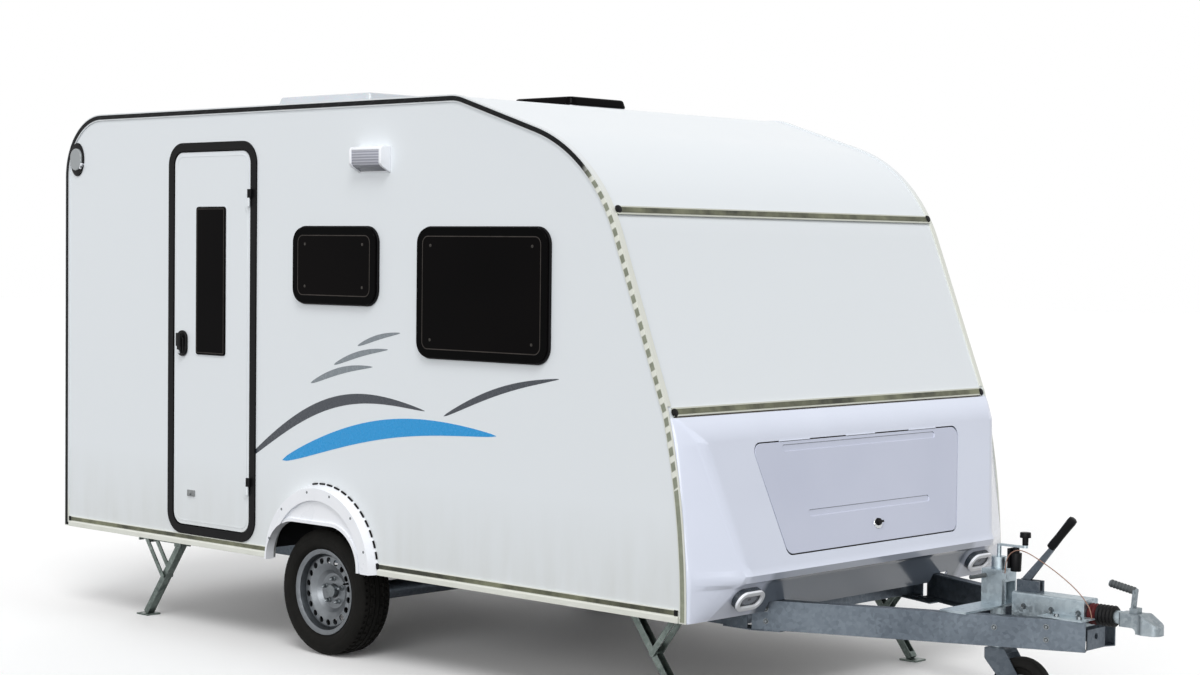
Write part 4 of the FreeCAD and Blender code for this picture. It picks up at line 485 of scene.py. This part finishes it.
# ------------------------------------------------------------------ wheel arch trims
# Moulded white trims, screwed over the cut-out through their flange. A nibbed rubber bead seals the
# front half of the outer edge against the wall.
abs_white = mottled("white_abs", "#F4F6FA", 0.28, 7.0, 4.0, {"Coat Weight": 0.2},
                    dark="#E8EBF1", satin=(0.22, 0.36))
paint(abs_white, "wheel_arch_trims")
ease(0.004, "wheel_arch_trims", segments=3)
steel = mottled("passivated_screw_steel", "#8A8F92", 0.35, 150.0, 4.0, {"Metallic": 1.0}, dark="#565B5E")
trim_x, trim_z, trim_r, screw_circle = -0.770, 0.408, 0.378, 0.345
bead_y, bead_r, bead_pitch, bead_run = 1.1035, 0.0045, 7.6, 5.0
screws = bmesh.new()
beads = bmesh.new()
for side in (-1, 1):
    out = Vector((0, side, 0))
    for angle in (18, 46, 74, 100, 134, 162):
        turn = math.radians(angle)
        spot = (trim_x + screw_circle * math.cos(turn), side * 1.14, trim_z + screw_circle * math.sin(turn))
        seat = surface_at("wheel_arch_trims", spot, out)
        rod(screws, seat - out * 0.002, seat + out * 0.0001, 0.0065, 0.0062, 14)
    for i in range(13):
        turn = math.radians(4 + i * bead_pitch)
        ring = bmesh.ops.create_circle(
            beads, cap_ends=True, radius=bead_r, segments=8,
            matrix=Matrix.Translation((trim_x, side * bead_y, trim_z)) @ Matrix.Rotation(-turn, 4, "Y")
            @ Matrix.Translation((trim_r + 0.0015, 0, 0)))
        end = [f for v in ring["verts"] for f in v.link_faces][:1]
        bmesh.ops.spin(beads, geom=end + ring["verts"], cent=(trim_x, 0, trim_z), axis=(0, -1, 0),
                       angle=math.radians(bead_run), steps=5, use_duplicate=False)
bmesh.ops.remove_doubles(beads, verts=beads.verts[:], dist=0.00001)
fit("arch_screws", screws, steel, "caravan", "galvanised")
fit("arch_beads", beads, rubber, "caravan", "black_rubber")

# ------------------------------------------------------------------ rooflights
# Two blown acrylic domes on white moulded frames that clamp the roof between them. The rear dome is
# milky white and the front one is tinted.
paint(abs_white, "rooflight_frames")
ease(0.004, "rooflight_frames", segments=3)
milky = mottled("opal_acrylic", "#C9CED3", 0.18, 5.0, 2.0, {"Subsurface Weight": 0.1}, dark="#AFB5BC")
paint(milky, "rear_rooflight")
paint(tint, "front_rooflight")
ease(0.01, "rear_rooflight", "front_rooflight", segments=4)

# ------------------------------------------------------------------ lamps
# Moulded lamps with clear or coloured acrylic lenses over reflectors. The two front ones sit in
# white oval bezels below the ledge, the rear ones fill the ends of a white carrier, and a marker on
# a black oval base stands high at the rear of each side.
lens, shader, at = finish("clear_lens_acrylic", "#5B6266", 0.08, {"IOR": 1.49})
flutes = add_node(lens, "TexWave", {"Vector": at, "Scale": 45.0}, bands_direction="Y")
# a front lens is dark at its rim and over the bulb, with its reflector bright between them
lamp_mid = (0, 0.812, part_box("marker_lamps")[0][2] + 0.041)
pair = add_node(lens, "VectorMath", {0: at}, operation="ABSOLUTE")
aside = add_node(lens, "VectorMath", {0: pair, 1: lamp_mid}, operation="SUBTRACT")
oval = add_node(lens, "VectorMath", {0: aside, 1: (0, 12.5, 26.0)}, operation="MULTIPLY")
reach = add_node(lens, "VectorMath", {0: oval}, operation="LENGTH")
rim = add_node(lens, "MapRange", {"Value": reach, "From Min": 0.52, "From Max": 0.62})
bulb = add_node(lens, "MapRange", {"Value": reach, "From Min": 0.16, "From Max": 0.08})
shade = add_node(lens, "Math", {0: rim, 1: bulb}, operation="MAXIMUM")
bowl = add_node(lens, "Mix", {
    mix_by: flutes.outputs["Fac"], mix_from: "#6B717B", mix_to: "#9DA3AD"}, data_type="RGBA")
front = add_node(lens, "Mix", {mix_by: shade, mix_from: bowl, mix_to: "#2C333B"}, data_type="RGBA")
place = add_node(lens, "SeparateXYZ", {"Vector": at})
rear = add_node(lens, "Math", {0: place.outputs["X"], 1: 0.0}, operation="LESS_THAN")
tone = add_node(lens, "Mix", {mix_by: rear, mix_from: front, mix_to: "#999EA0"}, data_type="RGBA")
lines = add_node(lens, "Bump", {"Height": flutes.outputs["Fac"], "Distance": 0.0008})
feed(lens, shader, {"Base Color": tone, "Normal": lines})
paint(lens, "marker_lamps")
red, shader, at = finish("signal_red_acrylic", "#8A0F14", 0.1, {"IOR": 1.49})
prisms = add_node(red, "TexVoronoi", {
    "Vector": at, "Scale": 160.0, "Randomness": 0.0}, feature="F1", distance="CHEBYCHEV")
across = add_node(red, "SeparateXYZ", {"Vector": at})
reach = add_node(red, "Math", {0: across.outputs["Y"]}, operation="ABSOLUTE")
amber = add_node(red, "Math", {0: reach, 1: 0.955}, operation="GREATER_THAN")
tone = add_node(red, "Mix", {mix_by: amber, mix_from: "#8A0F14", mix_to: "#C8660F"}, data_type="RGBA")
facets = add_node(red, "Bump", {"Height": prisms, "Distance": 0.001})
feed(red, shader, {"Base Color": tone, "Normal": facets})
paint(red, "rear_lamps")
paint(abs_white, "rear_lamp_carrier")
ease(0.004, "marker_lamps", "rear_lamps", "rear_lamp_carrier", segments=3)
band_out = Vector((0.8660, 0, -0.4999))
for side, name in both_sides:
    bezel = inlay("marker_lamps", band_out, 0, 0.011, ring=0.018, where=lambda c: c.y * side > 0.5)
    round_off(bezel, 0.005, 4)
    fit("lamp_bezel_" + name, bezel, abs_white, "caravan", "white_plastic")
low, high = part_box("marker_lamps")
for side, name in both_sides:
    hub = Vector((low[0] + 0.046, side * wall_y, high[2] - 0.055))
    base = bmesh.new()
    rod(base, hub, hub + Vector((0, side * 0.008, 0)), 1, 1, 48)
    bmesh.ops.scale(base, vec=(0.057, 1, 0.084), space=Matrix.Translation(-hub), verts=base.verts[:])
    round_off(base, 0.003, 3)
    fit("marker_base_" + name, base, nylon, "caravan", "black_plastic")

# ------------------------------------------------------------------ awning lamp
# A white moulded shell screwed to the wall over the door's path, with a ribbed grey lens that
# shines down and outwards.


def bar_of(mesh, profile, low_x, high_x):
    """Adds a bar along x with a section given as points of y and z."""
    end = mesh.faces.new([mesh.verts.new((low_x, y, z)) for y, z in profile])
    thicken(mesh, [end], (high_x - low_x, 0, 0))


shell = bmesh.new()
cheek = [(-1.100, 2.182), (-1.150, 2.208), (-1.160, 2.222), (-1.160, 2.282), (-1.152, 2.294), (-1.100, 2.300)]
for low_x in (-0.540, -0.344):
    bar_of(shell, cheek, low_x, low_x + 0.014)
hood = [(-1.100, 2.284), (-1.158, 2.280), (-1.158, 2.286), (-1.150, 2.295), (-1.100, 2.300)]
bar_of(shell, hood, -0.530, -0.340)
back = [(-1.100, 2.184), (-1.104, 2.184), (-1.104, 2.290), (-1.100, 2.290)]
bar_of(shell, back, -0.530, -0.340)
round_off(shell, 0.003, 3)
fit("awning_lamp_shell", shell, abs_white, "caravan", "white_plastic", "awning_lamp")
grey_lens, shader, at = finish("ribbed_grey_lens", "#A9ABB6", 0.2)
flutes = add_node(grey_lens, "TexWave", {"Vector": at, "Scale": 26.0}, bands_direction="Z")
ribs = add_node(grey_lens, "Mix", {
    mix_by: flutes.outputs["Fac"], mix_from: "#9193A0", mix_to: "#BDBFC9"}, data_type="RGBA")
height = add_node(grey_lens, "SeparateXYZ", {"Vector": at}).outputs["Z"]
below = add_node(grey_lens, "MapRange", {"Value": height, "From Min": 2.216, "From Max": 2.206})
tone = add_node(grey_lens, "Mix", {mix_by: below, mix_from: ribs, mix_to: "#6E7079"}, data_type="RGBA")
lines = add_node(grey_lens, "Bump", {"Height": flutes.outputs["Fac"], "Distance": 0.001})
feed(grey_lens, shader, {"Base Color": tone, "Normal": lines})
lens_box = bmesh.new()
bowed = [(-1.103, 2.188), (-1.147, 2.211), (-1.156, 2.224), (-1.156, 2.281), (-1.103, 2.281)]
bar_of(lens_box, bowed, -0.527, -0.343)
round_off(lens_box, 0.002, 2)
fit("awning_lamp_lens", lens_box, grey_lens, "caravan", "lamp_plastic")

# ------------------------------------------------------------------ chassis, drawbar and axle
# Folded steel sections, hot-dip galvanised after welding and bolted up. Fresh zinc shows flat
# crystals 10 to 20 mm across, from bright to dull grey, and greys over where water stands.


def galvanised(name, light, dark):
    """Zinc over steel, in two tones of crystal."""
    zinc, shader, at = finish(name, light, 0.45, {"Metallic": 1.0})
    crystals = add_node(zinc, "TexVoronoi", {"Vector": at, "Scale": 70.0})
    share = add_node(zinc, "SeparateColor", {"Color": crystals.outputs["Color"]})
    stain = add_node(zinc, "TexNoise", {"Vector": at, "Scale": 4.0, "Detail": 6.0})
    both = add_node(zinc, "Math", {0: share.outputs["Red"], 1: 0.2, 2: stain}, operation="MULTIPLY_ADD")
    spread = add_node(zinc, "MapRange", {"Value": both, "From Min": 0.35, "From Max": 0.85})
    tone = add_node(zinc, "Mix", {mix_by: spread, mix_from: dark, mix_to: light}, data_type="RGBA")
    satin = add_node(zinc, "MapRange", {"Value": share.outputs["Green"], "To Min": 0.34, "To Max": 0.56})
    feed(zinc, shader, {"Base Color": tone, "Roughness": satin})
    return zinc


def hexagon(mesh, at, facing, radius, height):
    """Adds a hexagon head with a sunk face."""
    facing = facing.normalized()
    made = rod(mesh, at - facing * 0.001, at + facing * height, radius, radius * 0.94, 6)
    top = max({f for v in made for f in v.link_faces}, key=lambda f: f.calc_center_median().dot(facing))
    bmesh.ops.inset_region(mesh, faces=[top], thickness=radius * 0.35, depth=-height * 0.4)


def bolt(mesh, seat, out, sunk=0.0):
    """Adds a bolt's head on its washer, which may be let into its seat."""
    rod(mesh, seat - out * sunk, seat + out * 0.002, 0.012, 0.0115, 20)
    hexagon(mesh, seat + out * 0.001, out, head_r, head_t)


# painted shade: both zinc tones are set far darker than fresh zinc, to the tone of the drawbar's shaded side;
# the crystal mix between them is the zinc's own
zinc = galvanised("hot_dip_galvanised_steel_shaded_tone", "#687078", "#4D545C")
frame_parts = ("chassis_rails", "drawbar_beams", "cross_members", "axle_tube", "suspension_arms",
               "drawbar_plates")
paint(zinc, *frame_parts)
ease(0.0015, *frame_parts)
head_r, head_t = 0.0095, 0.008
beam_x, beam_y = 1.33, 0.62
bolts = bmesh.new()
bar_way = Vector((0.9246, 0.3811, 0))
for side in (-1, 1):
    out = Vector((0.3811, side * 0.9246, 0))
    for run, z in ((0.06, 0.42), (0.06, 0.37), (0.98, 0.41), (1.18, 0.375), (1.18, 0.425)):
        spot = Vector((beam_x + bar_way.x * run, side * (beam_y - bar_way.y * run), z))
        bolt(bolts, surface_at("drawbar_beams", spot, out), out, sunk=0.001)
    out = Vector((0, side, 0))
    for x in (-0.70, -0.62):
        for z in (0.37, 0.42):
            hexagon(bolts, surface_at("chassis_rails", (x, side * beam_y, z), out), out, head_r, head_t)
fit("chassis_bolts", bolts, steel, "caravan", "galvanised")

# ------------------------------------------------------------------ wheels
# Pressed steel wheels in silver lacquer on cast drums, each held by five bolts. The tyres are
# moulded rubber with five ribs and cut shoulders, and the jockey wheel is solid rubber on steel.
# painted shade: the lacquer's tones are set darker than silver lacquer, to the tone of the rim's shaded dish;
# the patchy mix between them is dirt
lacquer, shader, at = finish("silver_lacquer_shaded_tone", "#72767A", 0.38, {"Metallic": 0.9, "Coat Weight": 0.15})
flake = add_node(lacquer, "TexVoronoi", {"Vector": at, "Scale": 900.0})
dirt = add_node(lacquer, "TexNoise", {"Vector": at, "Scale": 14.0, "Detail": 7.0})
tone = add_node(lacquer, "Mix", {mix_by: dirt, mix_from: "#585C60", mix_to: "#85898D"}, data_type="RGBA")
grit = add_node(lacquer, "Bump", {"Height": flake, "Distance": 0.0001})
feed(lacquer, shader, {"Base Color": tone, "Normal": grit})
paint(lacquer, "wheel_rim_right", "wheel_rim_left")
ease(0.0015, "wheel_rim_right", "wheel_rim_left")
iron = mottled("cast_iron", "#413B37", 0.75, 160.0, 6.0, {"Metallic": 0.6}, dark="#1F1D1C", grain=0.0006)
paint(iron, "brake_drum_right", "brake_drum_left")
tread = mottled("tyre_rubber", "#1B1A18", 0.75, 22.0, 7.0, {"Specular IOR Level": 0.12},
                dark="#0A0A09", grain=0.0008)
axle_x, wheel_y, tyre_r = -0.81, 0.985, 0.289
# half of the section, from the bead to the middle of the tread: radius and distance from the middle
half_section = [
    (0.1815, 0.060), (0.1960, 0.064), (0.1985, 0.074), (0.2140, 0.0885), (0.2165, 0.0900),
    (0.2200, 0.0902), (0.2225, 0.0912), (0.2420, 0.0924), (0.2440, 0.0914), (0.2470, 0.0916),
    (0.2490, 0.0920), (0.2640, 0.0880), (0.2755, 0.0810), (0.2820, 0.0735), (0.2850, 0.0680),
    (0.2863, 0.0470), (0.2790, 0.0460), (0.2790, 0.0405), (0.2872, 0.0395), (0.2883, 0.0165),
    (0.2805, 0.0155), (0.2805, 0.0100), (0.2888, 0.0090)]
section = half_section + [(r, -y) for r, y in reversed(half_section)]
columns = 120
bolt_circle = 0.056
for side, name in both_sides:
    tyre = bmesh.new()
    loop = [tyre.verts.new((axle_x + r, side * wheel_y + y, tyre_r)) for r, y in section]
    edges = [tyre.edges.new((loop[i], loop[(i + 1) % len(loop)])) for i in range(len(loop))]
    bmesh.ops.spin(tyre, geom=loop + edges, cent=(axle_x, 0, tyre_r), axis=(0, 1, 0), angle=math.tau,
                   steps=columns, use_merge=True, use_duplicate=False)
    bmesh.ops.remove_doubles(tyre, verts=tyre.verts[:], dist=0.00001)
    bmesh.ops.recalc_face_normals(tyre, faces=tyre.faces[:])
    shoulder_cuts = []
    rib_cuts = []
    for face in tyre.faces:
        middle = face.calc_center_median()
        radius = math.hypot(middle.x - axle_x, middle.z - tyre_r)
        offset = abs(middle.y - side * wheel_y)
        turn = math.atan2(middle.z - tyre_r, middle.x - axle_x)
        column = int(round(turn / math.tau * columns - 0.5)) % columns
        if radius > 0.2845 and 0.050 < offset < 0.066 and column % 2 == 0:
            shoulder_cuts.append(face)
        elif radius > 0.286 and 0.020 < offset < 0.038 and column % 3 == 0:
            rib_cuts.append(face)
    bmesh.ops.inset_individual(tyre, faces=shoulder_cuts, thickness=0.0035, depth=-0.006)
    bmesh.ops.inset_individual(tyre, faces=rib_cuts, thickness=0.0055, depth=-0.005)
    fit("tyre_tread_" + name, tyre, tread, "wheel_" + name, "tyre", "tyre_" + name)
    out = Vector((0, side, 0))
    fixings = bmesh.new()
    for i in range(5):
        turn = math.radians(90 + 72 * i)
        spot = (axle_x + bolt_circle * math.cos(turn), side * 1.06, tyre_r + bolt_circle * math.sin(turn))
        seat = surface_at("wheel_rim_" + name, spot, out)
        rod(fixings, seat, seat + out * 0.006, 0.013, 0.011, 24)
        hexagon(fixings, seat + out * 0.005, out, 0.0098, 0.015)
    cap_y = side * 0.990
    rod(fixings, (axle_x, cap_y, tyre_r), (axle_x, cap_y + side * 0.030, tyre_r), 0.0315, 0.028, 32)
    round_off(fixings, 0.0012, 2)
    fit("wheel_bolts_" + name, fixings, steel, "wheel_" + name, "galvanised")
    valve = bmesh.new()
    foot = surface_at("wheel_rim_" + name, (axle_x + 0.1363, side * 1.06, tyre_r + 0.0496), out)
    rod(valve, foot, foot + out * 0.022, 0.006, 0.0035, 16)
    rod(valve, foot + out * 0.020, foot + out * 0.030, 0.0042, 0.0038, 16)
    round_off(valve, 0.0006, 2)
    fit("tyre_valve_" + name, valve, rubber, "wheel_" + name, "black_rubber")
solid, shader, at = finish("solid_rubber_on_steel", "#121110", 0.7, {"Specular IOR Level": 0.2})
low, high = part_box("jockey_wheel")
pin = (-(low[0] + high[0]) / 2, 0, -(low[2] + high[2]) / 2)
disc_r = 0.062
hub_way = add_node(solid, "VectorMath", {0: at, 1: pin}, operation="ADD")
flat_way = add_node(solid, "VectorMath", {0: hub_way, 1: (1, 0, 1)}, operation="MULTIPLY")
reach = add_node(solid, "VectorMath", {0: flat_way}, operation="LENGTH")
disc = add_node(solid, "Math", {0: reach, 1: disc_r}, operation="LESS_THAN")
scuff = add_node(solid, "TexNoise", {"Vector": at, "Scale": 40.0, "Detail": 6.0})
rubbed = add_node(solid, "Mix", {mix_by: scuff, mix_from: "#0A0A09", mix_to: "#201F1D"}, data_type="RGBA")
plated = add_node(solid, "Mix", {mix_by: scuff, mix_from: "#6E777C", mix_to: "#9AA3A8"}, data_type="RGBA")
tone = add_node(solid, "Mix", {mix_by: disc, mix_from: rubbed, mix_to: plated}, data_type="RGBA")
feed(solid, shader, {"Base Color": tone, "Metallic": disc})
paint(solid, "jockey_wheel")
ease(0.002, "jockey_wheel")

# ------------------------------------------------------------------ overrun device and coupling
# A zinc-plated hat section bolted over the drawbar, a sliding tube in a rubber bellows with a dark
# red rear end, and a pressed coupling head. The head's handle has a ribbed grey grip.
clean_zinc = galvanised("zinc_plated_steel", "#BCC7CC", "#929EA6")
paint(clean_zinc, "overrun_housing", "overrun_tube")
pressed = galvanised("zinc_plated_pressing", "#A3ACB1", "#6E777D")
paint(pressed, "coupling_head", "coupling_handle")
ease(0.0015, "overrun_housing", "overrun_tube", "coupling_head", "coupling_handle")
gaiter, shader, at = finish("bellows_rubber", "#141112", 0.5, {"Specular IOR Level": 0.15})
along = add_node(gaiter, "SeparateXYZ", {"Vector": at}).outputs["X"]
first = add_node(gaiter, "Math", {0: along, 1: 2.555}, operation="LESS_THAN")
tone = add_node(gaiter, "Mix", {mix_by: first, mix_from: "#111112", mix_to: "#4A1416"}, data_type="RGBA")
chalk = add_node(gaiter, "TexNoise", {"Vector": at, "Scale": 60.0, "Detail": 5.0})
satin = add_node(gaiter, "MapRange", {"Value": chalk, "To Min": 0.4, "To Max": 0.65})
feed(gaiter, shader, {"Base Color": tone, "Roughness": satin})
paint(gaiter, "drawbar_bellows")
ease(0.003, "drawbar_bellows", segments=3)
up = Vector((0, 0, 1))
bolts = bmesh.new()
for side in (-1, 1):
    out = Vector((0, side, 0))
    for x in (2.245, 2.37, 2.49):
        bolt(bolts, surface_at("overrun_housing", (x, side * 0.052, 0.472), out), out)
    for x in (2.43, 2.53):
        bolt(bolts, surface_at("overrun_housing", (x, side * 0.112, 0.46), up), up)
fit("housing_bolts", bolts, steel, "caravan", "galvanised")
ribbed_grey = mottled("ribbed_grey_grip", "#575C5E", 0.4, 120.0, 4.0, dark="#2E3234")
grip_end = Vector((2.600, 0, 0.597))
grip_root = Vector((2.708, 0, 0.5768))
ribs, rib_share, rib_r, core_r = 8, 0.62, 0.0155, 0.0128
grip = bmesh.new()
for i in range(ribs):
    here = grip_end.lerp(grip_root, i / ribs)
    there = grip_end.lerp(grip_root, (i + rib_share) / ribs)
    rod(grip, here, there, rib_r)
rod(grip, grip_end, grip_root, core_r)
round_off(grip, 0.002, 2)
fit("coupling_grip", grip, ribbed_grey, "caravan", "black_plastic")

# ------------------------------------------------------------------ handbrake
# A flat galvanised lever on a toothed segment. The end of the lever carries a black push-on grip
# that is slightly waisted for the hand.
paint(zinc, "handbrake_lever")
ease(0.0015, "handbrake_lever")
lever_way = Vector((0.0956, 0, 0.116)).normalized()
grip_foot = Vector((2.3316, 0, 0.708))
grip = bmesh.new()
# how far up the grip, and its radius there
stations = ((0.0, 0.0172), (0.02, 0.0182), (0.06, 0.0170), (0.11, 0.0178), (0.140, 0.0188),
            (0.1530, 0.0172), (0.1560, 0.0130))
for (start, r_start), (end, r_end) in zip(stations, stations[1:]):
    rod(grip, grip_foot + lever_way * start, grip_foot + lever_way * end, r_start, r_end, 28)
fit("handbrake_grip", grip, nylon, "caravan", "black_plastic")

# ------------------------------------------------------------------ jockey wheel
# A zinc-plated telescopic leg in a bolted clamp, with a crank on top, a forked castor and a solid
# wheel. The clamp is drawn up by a T-handle, and the socket for the lamp plug hangs beside it.
paint(zinc, "jockey_fork")
paint(clean_zinc, "jockey_clamp", "jockey_tube", "jockey_inner_tube")
ease(0.0015, "jockey_clamp", "jockey_tube", "jockey_fork", "jockey_inner_tube")
knob_x = 2.215
knob = bmesh.new()
rod(knob, (knob_x, 0, 0.7045), (knob_x, 0, 0.7375), 0.0120, 0.0125, 28)
rod(knob, (knob_x, 0, 0.7352), (knob_x, 0, 0.7568), 0.0225, 0.0215, 28)
round_off(knob, 0.002, 3)
fit("crank_knob", knob, nylon, "jockey_tube", "black_plastic")
handle = bmesh.new()
rod(handle, (2.060, -0.050, 0.575), (2.060, -0.092, 0.575), 0.009, 0.009, 20)
rod(handle, (2.022, -0.096, 0.566), (2.098, -0.096, 0.584), 0.0085, 0.0085, 20)
round_off(handle, 0.002, 2)
fit("clamp_handle", handle, ribbed_grey, "caravan", "galvanised")
parking = bmesh.new()
slab(parking, (2.150, -0.030, 0.610), (2.162, 0.022, 0.690))
rod(parking, (2.176, -0.004, 0.598), (2.176, -0.004, 0.672), 0.021, 0.0235, 28)
rod(parking, (2.176, -0.004, 0.668), (2.176, -0.004, 0.694), 0.0150, 0.0125, 28)
round_off(parking, 0.002, 2)
fit("plug_parking", parking, nylon, "caravan", "black_plastic")

# ------------------------------------------------------------------ breakaway cable
# A thin steel cable in a reddish sheath. It is swaged into an eye on the jockey clamp, springs up
# and over, and ends on the overrun housing's wing plate.
sheath = mottled("red_brown_sheath", "#A5826F", 0.4, 220.0, 3.0, dark="#7A5344")
cable_route = [(2.154, -0.048, 0.592), (2.155, -0.048, 0.620), (2.162, -0.048, 0.653), (2.183, -0.048, 0.680),
               (2.216, -0.048, 0.692), (2.257, -0.048, 0.684), (2.303, -0.048, 0.664), (2.350, -0.048, 0.641),
               (2.398, -0.049, 0.615), (2.443, -0.051, 0.588), (2.486, -0.054, 0.559), (2.520, -0.058, 0.529),
               (2.543, -0.061, 0.502), (2.553, -0.063, 0.478), (2.556, -0.064, 0.4613)]
cable_line = bpy.data.curves.new("cable", "CURVE")
cable_line.dimensions = "3D"
cable_line.bevel_depth = 0.002
cable_line.bevel_resolution = 3
cable_line.use_fill_caps = True
spline = cable_line.splines.new("NURBS")
spline.points.add(len(cable_route) - 1)
for point, place in zip(spline.points, cable_route):
    point.co = (*place, 1)
spline.order_u = 3
spline.use_endpoint_u = True
spline.resolution_u = 12
cable_line.materials.append(sheath)
cable = bpy.data.objects.new("breakaway_cable_line", cable_line)
bpy.context.collection.objects.link(cable)
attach(cable, "caravan")
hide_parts("breakaway_cable")

# ------------------------------------------------------------------ corner steadies
# Pressed steel legs and braces, zinc plated and passivated to a dull green grey, hinged from bases
# that are bolted under the chassis.
drab = galvanised("green_passivated_zinc", "#8B9590", "#4D5754")
steadies = ["steady_bases"]
for corner in ("rear_right", "rear_left", "front_right", "front_left"):
    steadies += ["steady_leg_" + corner, "steady_brace_" + corner]
paint(drab, *steadies)
ease(0.0015, *steadies)

# ------------------------------------------------------------------ studio
# A plain pale floor under an even white sky, with one broad lamp high on the right, a lower one
# beside it and one behind.
floor_mesh = bmesh.new()
bmesh.ops.create_grid(floor_mesh, x_segments=1, y_segments=1, size=60)
floor_data = bpy.data.meshes.new("floor")
floor_mesh.to_mesh(floor_data)
floor_mesh.free()
floor = bpy.data.objects.new("floor", floor_data)
bpy.context.collection.objects.link(floor)
pale, shader, at = finish("pale_floor", "#FFFFFF", 1.0, {"Specular IOR Level": 0.0})
ray = add_node(pale, "LightPath")
seen = add_node(pale, "Math", {
    0: ray.outputs["Is Camera Ray"], 1: ray.outputs["Is Glossy Ray"]}, operation="MAXIMUM")
tone = add_node(pale, "Mix", {mix_by: seen, mix_from: "#5A5A5A", mix_to: "#FFFFFF"}, data_type="RGBA")
feed(pale, shader, {"Base Color": tone})
floor_data.materials.append(pale)

sky = bpy.data.worlds.new("studio")
sky.use_nodes = True
bpy.context.scene.world = sky
ray = add_node(sky, "LightPath")
shiny = add_node(sky, "Math", {
    0: ray.outputs["Is Glossy Ray"], 1: ray.outputs["Is Transmission Ray"]}, operation="MAXIMUM")
seen = add_node(sky, "Math", {0: ray.outputs["Is Camera Ray"], 1: shiny}, operation="MAXIMUM")
level = add_node(sky, "MapRange", {"Value": seen, "To Min": 0.62, "To Max": 1.0})
feed(sky, sky.node_tree.nodes["Background"], {"Color": (1, 1, 1, 1), "Strength": level})

# each lamp's name, its strength, its spread in degrees and the way to it
lamps = (("key", 1.15, 25, (0.62, -0.60, 1.0)), ("side", 1.58, 40, (0.42, -0.88, 0.16)),
         ("back", 1.2, 40, (-0.60, 0.78, 0.14)))
for name, energy, spread, towards in lamps:
    lamp = bpy.data.lights.new(name, "SUN")
    lamp.energy = energy
    lamp.angle = math.radians(spread)
    held = bpy.data.objects.new(name, lamp)
    held.rotation_euler = Vector(towards).to_track_quat("Z", "Y").to_euler()
    held.visible_glossy = name != "back"
    bpy.context.collection.objects.link(held)

# ------------------------------------------------------------------ camera
# It stands 10 m off, ahead and to the right of the caravan, a little above head height.
camera = bpy.data.cameras.new("camera")
camera.lens = 66.93
camera.sensor_width = 36
ahead = Vector((-0.68006, 0.73216, -0.03828)).normalized()
level_right = ahead.cross(up).normalized()
level_up = level_right.cross(ahead)
roll = 0.01153
right = level_right * math.cos(roll) + level_up * math.sin(roll)
top = level_up * math.cos(roll) - level_right * math.sin(roll)
eye = bpy.data.objects.new("camera", camera)
turned = Matrix((right, top, -ahead)).transposed().to_4x4()
eye.matrix_world = Matrix.Translation((6.964, -7.603, 1.8469)) @ turned
bpy.context.collection.objects.link(eye)
bpy.context.scene.camera = eye
bpy.context.scene.view_settings.view_transform = "Standard"
